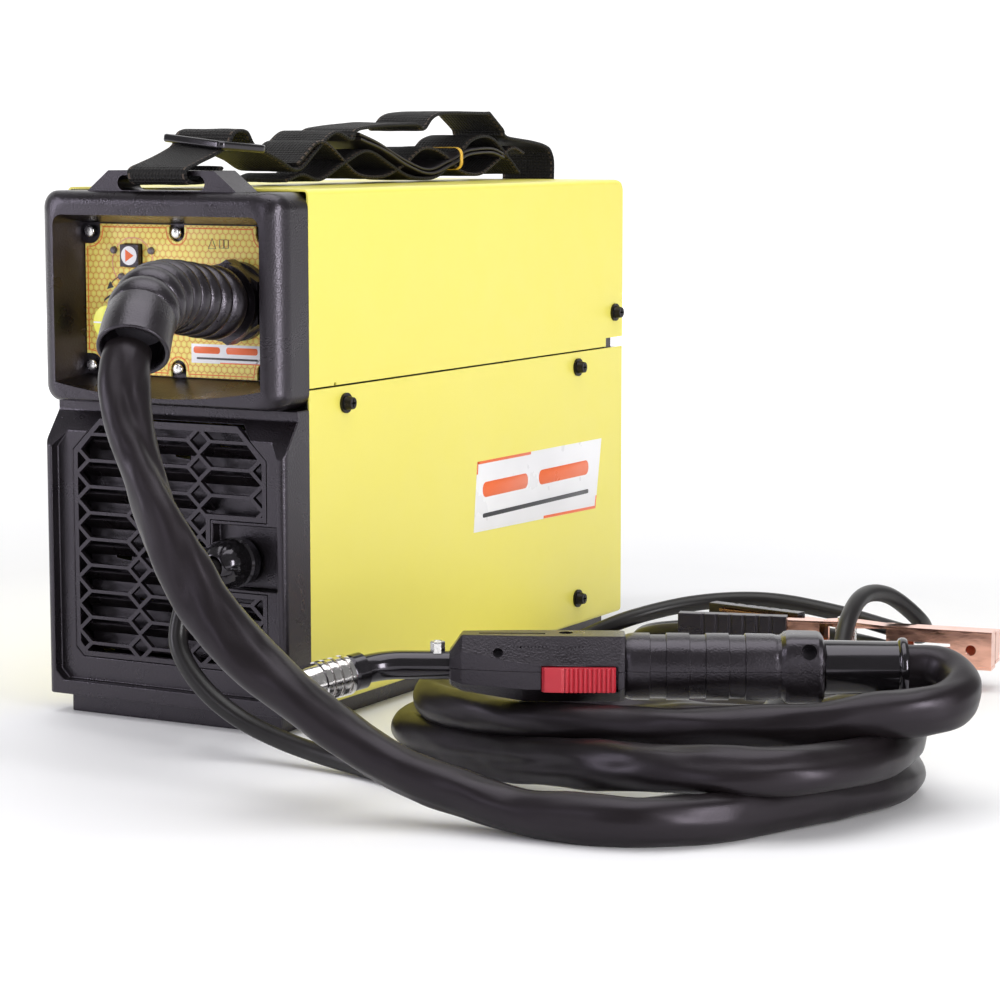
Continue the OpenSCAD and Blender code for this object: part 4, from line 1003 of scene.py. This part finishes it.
def make_controls():
    """Push button with its printed disc, the yellow knob and the lamps."""
    softened("push_button", "black_plastic", 0.6, 3)
    x, z = BUTTON_X, BUTTON_Z
    disc = plate("button_disc", [arc(x, z, 5.1, 0, 355, 60)], 0.3, 0.12, "white_print",
                 front_plane(BUTTON_Y + 0.15))
    rides_with(disc, "push_button")
    arrow = plate("button_arrow", [[(x - 2.2, z + 3.3), (x - 2.2, z - 3.3), (x + 3.2, z)]], 0.2, 0.06,
                  "orange_print", front_plane(BUTTON_Y - 0.1))
    rides_with(arrow, "push_button")
    low, high = KNOB_Y, PANEL_Y
    axis_at = (KNOB_X, 0, KNOB_Z)
    skirt = [(high - 0.6, 0), (high - 0.6, 10.3), (high - 1.6, 10.3), (high - 2.2, 9.5),
             (low + 3.4, 9.3), (low + 2.9, 8.9), (low + 2.9, 0)]
    base = turned("knob_skirt", skirt, "black_plastic", axis_at, "Y", 72)
    flutes = []
    for k in range(24):
        turn = 2 * math.pi * k / 24
        spot = (KNOB_X + 9.65 * math.cos(turn), 0, KNOB_Z + 9.65 * math.sin(turn))
        flutes.append(bar(f"flute{k}", low, high - 2.6, 0.55, at=spot, axis="Y", sides=10))
    cut(base, joined(flutes, "flutes"))
    soften_shading(base, 35)
    rides_with(base, "current_knob")
    cap = [(low + 3.3, 0), (low + 3.3, 9.05), (low + 1.3, 9.25), (low + 0.85, 9.05), (low + 0.6, 8.5),
           (low + 0.6, 0)]
    top = turned("knob_cap", cap, "knob_yellow", axis_at, "Y", 72)
    stand_for(top, "current_knob", slot="knob_yellow")
    outline = rounded_box(KNOB_X - 8.6, KNOB_Z - 0.45, KNOB_X + 1.0, KNOB_Z + 0.45, 0.4, 4)
    pointer = plate("knob_pointer", [outline], 0.5, 0.15, "white_print", front_plane(low + 0.75))
    rides_with(pointer, "current_knob")
    NODES["indicator_leds"].data.shade_smooth()


# ---------- torch lead at the panel ----------

def make_connector():
    softened("connector_nut", "black_plastic", 0.8, 3)
    route = smooth_line(RELIEF_ROUTE, 16)
    reach = lengths_along(route)
    whole = reach[-1]
    rings_from, rings_to, ridges = 4.0, whole - 23, 8
    count, sides = 260, 64

    def outer(s):
        body = 18.6 - 2.1 * s / whole
        if s < rings_from:
            return body - 2.6
        if s > rings_to:
            return body + 0.5 + 1.0 * (s - rings_to) / (whole - rings_to)
        wave = abs(math.sin(math.pi * ridges * (s - rings_from) / (rings_to - rings_from)))
        return body - 3.0 + 4.1 * wave ** 0.5

    def at(s):
        """Point of the route at a length from its start."""
        i = min(max(np.searchsorted(reach, s) - 1, 0), len(route) - 2)
        t = (s - reach[i]) / (reach[i + 1] - reach[i])
        return route[i].lerp(route[i + 1], t)

    steps = [whole * i / count for i in range(count + 1)]
    profile = [(s, outer(s)) for s in steps]
    lip = profile[-1][1]
    profile[-1] = (whole, lip - 0.5)
    profile[-2] = (steps[-2], lip - 0.12)
    profile += [(whole, lip - 1.6), (whole - 0.5, lip - 2.4), (whole - 4, lip - 3.2),
                (whole - 18, lip - 4.8), (whole - 18.2, 10.5)]
    guide = frames_along([at(s) for s in steps])
    turns = [2 * math.pi * k / sides for k in range(sides)]
    rings = []
    for s, r in profile:
        side, up = guide[min(int(round(s / whole * count)), count)][2:]
        rings.append([at(s) + side * (r * math.cos(a)) + up * (r * math.sin(a)) for a in turns])
    relief = add_piece("bend_relief_boot", rings, smooth=60)
    stand_for(relief, "bend_relief", slot="cable_rubber")


def make_gland():
    """Glossy cable gland: a round collar, a fluted dome nut and the mouth round the lead."""
    low, high = box_mm("earth_gland")
    x, front, z = (low[0] + high[0]) / 2, low[1], (low[2] + high[2]) / 2
    length = high[1] - front
    sides, rings = 96, []
    for y, r in ((length, 6), (length, 8), (27, 8), (27, 12.6), (20, 13.4), (19, 12.2), (17.6, 12.4),
                 (16.9, 13.3), (9, 12.9), (6.4, 12.2), (3.4, 10.2), (1.2, 7.9), (0.2, 6.7), (0, 6.1),
                 (0.5, 5.5), (6, 5.2), (12, 5.1), (12, 1)):
        depth = 0.42 if 6 < y < 17 and r > 9 else 0
        ring = []
        for k in range(sides):
            turn = 2 * math.pi * k / sides
            reach = r - depth * max(0, math.cos(12 * turn)) ** 2
            ring.append((x + reach * math.sin(turn), front + y, z + reach * math.cos(turn)))
        rings.append(ring)
    gland = add_piece("earth_gland_nut", rings, "dark_gloss_plastic", smooth=30)
    stand_for(gland, "earth_gland", slot="dark_gloss_plastic")


# ---------- torch ----------

def chamfered_section(left, right, top, low, c_top, c_low):
    """Closed section in y and z with chamfered corners; c is (sideways, upright)."""
    corners = [(right, low + c_low[1]), (right, top - c_top[1]), (right - c_top[0], top),
               (left + c_top[0], top), (left, top - c_top[1]), (left, low + c_low[1]),
               (left + c_low[0], low), (right - c_low[0], low)]
    each = 8
    return [(a[0] + (b[0] - a[0]) * k / each, a[1] + (b[1] - a[1]) * k / each)
            for a, b in zip(corners, corners[1:] + corners[:1]) for k in range(each)]


def round_section(ry, rz, power=2.0):
    """A squared circle with 64 points that start where the chamfered section starts."""
    made = []
    start = chamfered_section(-17, 16, 16, -16, (8, 12), (8, 7))
    for y, z in start:
        turn = math.atan2(z, y)
        c, s = abs(math.cos(turn)), abs(math.sin(turn))
        reach = (c ** power + s ** power) ** (-1 / power)
        made.append((ry * reach * math.cos(turn), rz * reach * math.sin(turn)))
    return made


def handle_sections():
    """Sections of the handle along x: a tapered nose, a faceted block, the grip and the end block."""
    def block(side, top, low, c_top=(8, 12), c_low=(7, 7)):
        return chamfered_section(-side, side - 1, top, -low, c_top, c_low)

    made = [(0.0, block(8.6, 7.8, 8.0, (3, 3), (3, 3))),
            (0.8, block(9.4, 8.6, 8.8, (3.4, 3.4), (3.2, 3.2))),
            (5.5, block(11.2, 15.4, 11.0, (5, 7), (4, 4))),
            (6.5, block(11.5, 16.0, 11.3, (5.2, 7.4), (4.2, 4.2))),
            (34.6, block(16.8, 16.0, 15.4)), (36.0, block(17.0, 16.0, 15.6)),
            (82.0, block(17.0, 16.0, 15.6)), (84.2, block(16.6, 15.9, 15.6, (8.4, 10), (8, 8)))]
    made += [(84.6, round_section(14.2, 15.0, 2.6)), (86.0, round_section(15.0, 15.6, 2.5)),
             (88.5, round_section(15.7, 16.0, 2.4))]
    wide, deep = 7.5, 0.85
    for groove in (96.5, 115.5, 134.5):
        made += [(groove - 0.25, round_section(15.8, 16.0, 2.35)),
                 (groove, round_section(15.8 - deep, 16.0 - deep, 2.35)),
                 (groove + wide, round_section(15.8 - deep, 16.0 - deep, 2.35)),
                 (groove + wide + 0.25, round_section(15.8, 16.0, 2.35))]
    for x, ry, rz, power in (
            (155.5, 15.6, 15.8, 2.4), (157.5, 14.9, 15.2, 2.5), (159.2, 14.9, 15.2, 2.8),
            (161.2, 15.9, 16.4, 3.6), (163.5, 16.2, 16.9, 4), (176.8, 16, 16.7, 4),
            (178.6, 15.2, 15.9, 4), (179.6, 13.9, 14.6, 4), (HANDLE_L, 12.2, 12.8, 4)):
        made.append((x, round_section(ry, rz, power)))
    return made


def box_piece(name, low, high, matrix=None):
    """Closed box used as a cutter."""
    rings = [[(low[0], low[1], z), (high[0], low[1], z), (high[0], high[1], z), (low[0], high[1], z)]
             for z in (low[2], high[2])]
    return add_piece(name, rings, matrix=matrix)


def half_of(thing, name, above, level):
    """The part of a closed piece above or below a level, closed again."""
    mesh = thing.data.copy()
    half = new_object(name, mesh)
    work = bmesh.new()
    work.from_mesh(mesh)
    everything = work.verts[:] + work.edges[:] + work.faces[:]
    sliced = bmesh.ops.bisect_plane(work, geom=everything, dist=1e-7, plane_co=(0, 0, level * MM),
                                    plane_no=(0, 0, -1 if above else 1), clear_outer=True)
    rim = [e for e in sliced["geom_cut"] if isinstance(e, bmesh.types.BMEdge)]
    bmesh.ops.triangle_fill(work, use_beauty=True, edges=rim, normal=(0, 0, -1 if above else 1))
    bmesh.ops.recalc_face_normals(work, faces=work.faces)
    work.to_mesh(mesh)
    work.free()
    return half


def guard_piece():
    """Raised lip over the trigger."""
    rings = []
    for x, out, low, top in ((42, 16.2, 3.2, 4.4), (50, 21.6, 3.0, 7.6), (53, 22.4, 2.9, 8.4),
                             (74, 22.4, 2.9, 8.4), (77, 21.4, 3.0, 7.4), (84, 16.2, 3.2, 4.4)):
        rings.append([(x, -out, low), (x, -out, top - 2.2), (x, -out + 2.6, top), (x, -14, top + 3),
                      (x, -13, low)])
    return rounded_edges(add_piece("trigger_guard", rings, matrix=TORCH), 0.8, 3)


def make_handle():
    """Two half shells: the nose and block, three wide grooves, slots, screw holes and the seam."""
    rings = [[(x, y, z) for y, z in section] for x, section in handle_sections()]
    shell = add_piece("handle", rings, matrix=TORCH)
    cutters = [
        box_piece("pocket", (44.2, -30, -9.9), (81.2, -6.5, 2.9), TORCH),
        box_piece("long_slot", (14, -2.6, 14.6), (46, -0.2, 18), TORCH),
        bar("round_recess", 14.2, 18, 3.4, at=(56, 1, 0), axis="Z", sides=32, matrix=TORCH),
        bar("front_bore", -2, 14, NECK_R + 0.3, sides=48, matrix=TORCH),
        bar("rear_bore", HANDLE_L - 8, HANDLE_L + 5, 11.2, sides=48, matrix=TORCH),
    ]
    for x, y, z, r in ((23.5, -14.6, 9.4, 2.5), (172, -16.0, 10.4, 3.7)):
        lean = Matrix.Translation(Vector((x, y, z))) @ Matrix.Rotation(math.radians(62), 4, "X")
        cutters.append(bar(f"screw_hole{x:.0f}", -7, 6, r, axis="Z", sides=36, matrix=TORCH @ lean))
    for i in range(22):
        x = 27 + 1.75 * i
        cutters.append(box_piece(f"knurl{i}", (x, -15.4, 10.8), (x + 0.8, -11.8, 17.6), TORCH))
    for cutter in cutters:
        cut(shell, cutter)
    cut(shell, guard_piece(), "UNION")
    level = TORCH.translation.z
    for above, node in ((True, "torch_handle_top"), (False, "torch_handle_bottom")):
        half = half_of(shell, node + "_shell", above, level + (0.1 if above else -0.1))
        tidy_mesh(half)
        rounded_edges(half, 0.3, 2, 24)
        stand_for(half, node, slot="black_plastic")
    bpy.data.objects.remove(shell)


def make_trigger():
    """Red trigger: a smooth thumb rest in front and a ribbed rear."""
    xs = [(44.6, 17.6), (46.0, 20.0), (54.0, 20.8), (55.2, 20.2)]
    ribs, first, last = 11, 55.6, 79.8
    pitch = (last - first) / ribs
    for i in range(ribs):
        x = first + i * pitch
        lean = 0.9 * i / ribs
        xs += [(x, 20.1 - lean), (x + 0.35, 20.95 - lean), (x + pitch * 0.62, 20.95 - lean),
               (x + pitch * 0.82, 20.1 - lean)]
    xs += [(80.0, 18.6)]
    low, top, back = -9.4, 2.4, -11.6
    rings = [[(x, -out, low), (x, -out, top), (x, back, top), (x, back, low)] for x, out in xs]
    trigger = add_piece("trigger_cap", rings, "red_plastic", TORCH)
    rounded_edges(trigger, 0.22, 2, 25)
    stand_for(trigger, "torch_trigger", slot="red_plastic")


def make_neck():
    """Glossy bent neck with its clamp bolt, the chrome nozzle and the tail boot."""
    rolled = TORCH @ Matrix.Rotation(NECK_ROLL, 4, "X")
    line = [Vector((x, 0, 0)) for x in (58, 20, 0, -12, NECK_START + 1)]
    line += [Vector((NECK_START - NECK_BEND_R * math.sin(a), -NECK_BEND_R * (1 - math.cos(a)), 0))
             for a in [NECK_BEND * k / 14 for k in range(15)]]
    out = rolled @ Matrix.Translation(line[-1]) @ Matrix.Rotation(math.pi + NECK_BEND, 4, "Z")
    line.append(line[-1] + Vector((-math.cos(NECK_BEND), -math.sin(NECK_BEND), 0)) * 8)
    rings = swept([rolled @ p for p in line], lambda turn, i: NECK_R - 0.05, 48)
    neck = add_piece("neck_tube", rings, "dark_gloss_plastic")
    stand_for(neck, "torch_neck", slot="dark_gloss_plastic")
    collar = [(1, 0), (1, 8.2), (1.6, 8.9), (7.6, 8.9), (8.6, 8.3), (9.8, 8.1), (9.8, 0)]
    rides_with(turned("neck_collar", collar, "dark_gloss_plastic", matrix=out, smooth=30),
               "torch_neck")
    bolt = turned("neck_bolt", [(3.5, 0), (3.5, 3.3), (4.0, 3.7), (11.2, 3.7), (11.9, 3.2), (11.9, 2.1),
                                (10.4, 2.0), (10.4, 0)], "bright_steel", (-6, 0, 0), "Z", 6, TORCH, 20)
    rides_with(rounded_edges(bolt, 0.25), "torch_neck")
    r = 9.95
    profile = [(10, 4.1), (10, r - 0.9), (10.5, r - 0.1), (11, r)]
    for z in (13, 18, 23):
        profile += [(z - 0.2, r), (z, r - 1.0), (z + 1.6, r - 1.0), (z + 1.8, r)]
    profile += [(27, r), (27.6, r - 0.7), (38, r - 0.9), (46, r - 1.9), (49.4, r - 2.4), (49.95, r - 2.8),
                (49.8, r - 3.3), (48, r - 3.35), (18, r - 3.2), (18, 4.1)]
    nozzle = turned("gas_nozzle", profile, "chrome", matrix=out, sides=72, smooth=25)
    stand_for(nozzle, "torch_nozzle", slot="chrome")
    back = [(HANDLE_L + x, radius) for x, radius in (
        (-8, 6), (-8, 11), (0, 11), (0, 12.7), (0.8, 13.1), (30, 12.7), (35.4, 12.8), (36.2, 14.0),
        (37.2, 14.45), (38.9, 14.4), (39.8, 13.8), (TAIL_L, 13.0), (TAIL_L, 10.6), (28, 10.3), (28, 6))]
    boot = turned("tail_boot", back, "dark_gloss_plastic", matrix=TORCH, sides=72, smooth=35)
    stand_for(boot, "torch_tail", slot="dark_gloss_plastic")


# ---------- earth clamp ----------

def make_clamp():
    for part, look, width, segments in (("jaw", "copper_plate", 0.35, 2),
                                        ("grip", "black_plastic", 0.9, 3)):
        for side in ("lower", "upper"):
            softened(f"clamp_{side}_{part}", look, width, segments)
    softened("clamp_pin", "bright_steel", 0.5)


# ---------- strap ----------

def ribbon(name, line, half_width, thick, look, sway=0.0, seed=0.0):
    """A band of webbing along a side view line, with rounded edges and a little sway."""
    spots = smooth_line([(0, y, z) for y, z in line], 10)
    reach = lengths_along(spots)
    rings, lay = [], []
    across = [-1, -0.985, -0.94, -0.75, -0.5, -0.25, 0, 0.25, 0.5, 0.75, 0.94, 0.985, 1]
    edge = [0.25, 0.72, *[1] * 9, 0.72, 0.25]
    for i, at in enumerate(spots):
        ahead = (spots[min(i + 1, len(spots) - 1)] - spots[max(i - 1, 0)]).normalized()
        normal = Vector((0, -ahead.z, ahead.y))
        s = reach[i]
        shift = sway * noise.noise(Vector((s / 60, seed, 0)))
        lean = sway * 0.02 * noise.noise(Vector((s / 45, seed, 7)))
        ring = []
        for side in (1, -1):
            for k in range(len(across))[::side]:
                u = across[k] * half_width
                cup = 0.35 * noise.noise(Vector((u / 14, s / 22, seed + 3)))
                lift = side * thick / 2 * edge[k] + cup + u * lean
                ring.append(at + Vector((u + shift, 0, 0)) + normal * lift)
                lay.append((u * MM, s * MM, side))
        rings.append(ring)
    thing = raw_piece(name, rings, look)
    keep_lay(thing, lay)
    soften_shading(thing, 50)
    return thing


def make_strap():
    """Webbing from the front lug to the rear lug, its slack tail, the slide buckle and the band."""
    middle = next(i for i, (y, z) in enumerate(STRAP_LINE) if y > 80)
    front = ribbon("strap_front", STRAP_LINE[:middle + 1], STRAP_HALF, STRAP_THICK, "webbing", 1.5,
                   1.0)
    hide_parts("strap")
    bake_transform(front)
    rear = ribbon("strap_rear", STRAP_LINE[middle:], STRAP_HALF, STRAP_THICK, "webbing", 1.5, 1.0)
    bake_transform(rear)
    for i, (lift, half) in enumerate(((0.0, 19.5), (2.6, 18.6))):
        tail = ribbon(f"strap_tail{i}", [(y, z + lift) for y, z in STRAP_TAIL], half, 1.8,
                      "smooth_tape", 1.0, 5.0 + i)
        rides_with(tail, "upper_cover")
    for name, line, half, seed in (("strap_under", STRAP_UNDER, 18.5, 9.0),
                                   ("strap_under_fold", STRAP_FOLD, 18.0, 12.0)):
        layer = ribbon(name, line, half, STRAP_THICK, "webbing", 3.0, seed)
        rides_with(layer, "upper_cover")
    at = (Matrix.Translation(Vector((0, -157, 309.4))) @ Matrix.Rotation(math.radians(-15), 4, "Z")
          @ Matrix.Rotation(math.radians(5), 4, "Y") @ Matrix.Rotation(math.radians(-4), 4, "X"))
    outlines = [rounded_box(-25, -17, 25, 17, 4), rounded_box(-20.5, -13, 20.5, -3.2, 1.5),
                rounded_box(-20.5, 3.2, 20.5, 13, 1.5)]
    buckle = plate("slide_buckle", outlines, 4.6, 1.4, "dark_gloss_plastic", at, 4)
    stand_for(buckle, "strap_buckle", slot="dark_gloss_plastic")
    rings = []
    for x, z in rounded_box(-21.5, 295.2, 21.5, 308.4, 4.5, 8):
        out = Vector((x, 0, z - 301.8)).normalized()
        rings.append([Vector((x, 77.3, z)) + out * (0.9 * math.cos(a)) + Vector((0, 1.3 * math.sin(a), 0))
                      for a in [2 * math.pi * k / 12 for k in range(12)]])
    band = add_piece("rubber_band", rings, "band_yellow", smooth=60, loop=True)
    stand_for(band, "strap_band", slot="band_yellow")


# ---------- inside ----------

def make_inside():
    """Edges of the parts that show when the cover is open."""
    widths = {"transformer": 0.8, "capacitors": 0.8, "fan_frame": 0.5, "fan_rotor": 0.3,
              "feed_motor": 0.8, "feed_plate": 0.5, "wire_guides": 0.3, "drive_roll": 0.3,
              "pressure_arm": 0.4, "pressure_roll": 0.3, "tension_knob": 0.5, "spool_hub": 0.6,
              "wire_spool": 0.4}
    for node, width in widths.items():
        softened(node, NODE_SLOT[node], width)


LOOKS = make_looks()
NODE_SLOT = {name: thing.material_slots[0].material.name.split(".")[0] for name, thing in NODES.items()}
for name, thing in NODES.items():
    thing.material_slots[0].material = LOOKS[NODE_SLOT[name]]

make_camera()
make_stage()
torch_sleeve, torch_path = make_torch_cable()
earth_lead, earth_path = make_earth_cable()
for make in (make_case, make_grille_shade_plate, make_label, make_panel, make_panel_screws, make_controls,
             make_connector, make_gland, make_handle, make_trigger, make_neck, make_clamp, make_strap,
             make_inside):
    make()
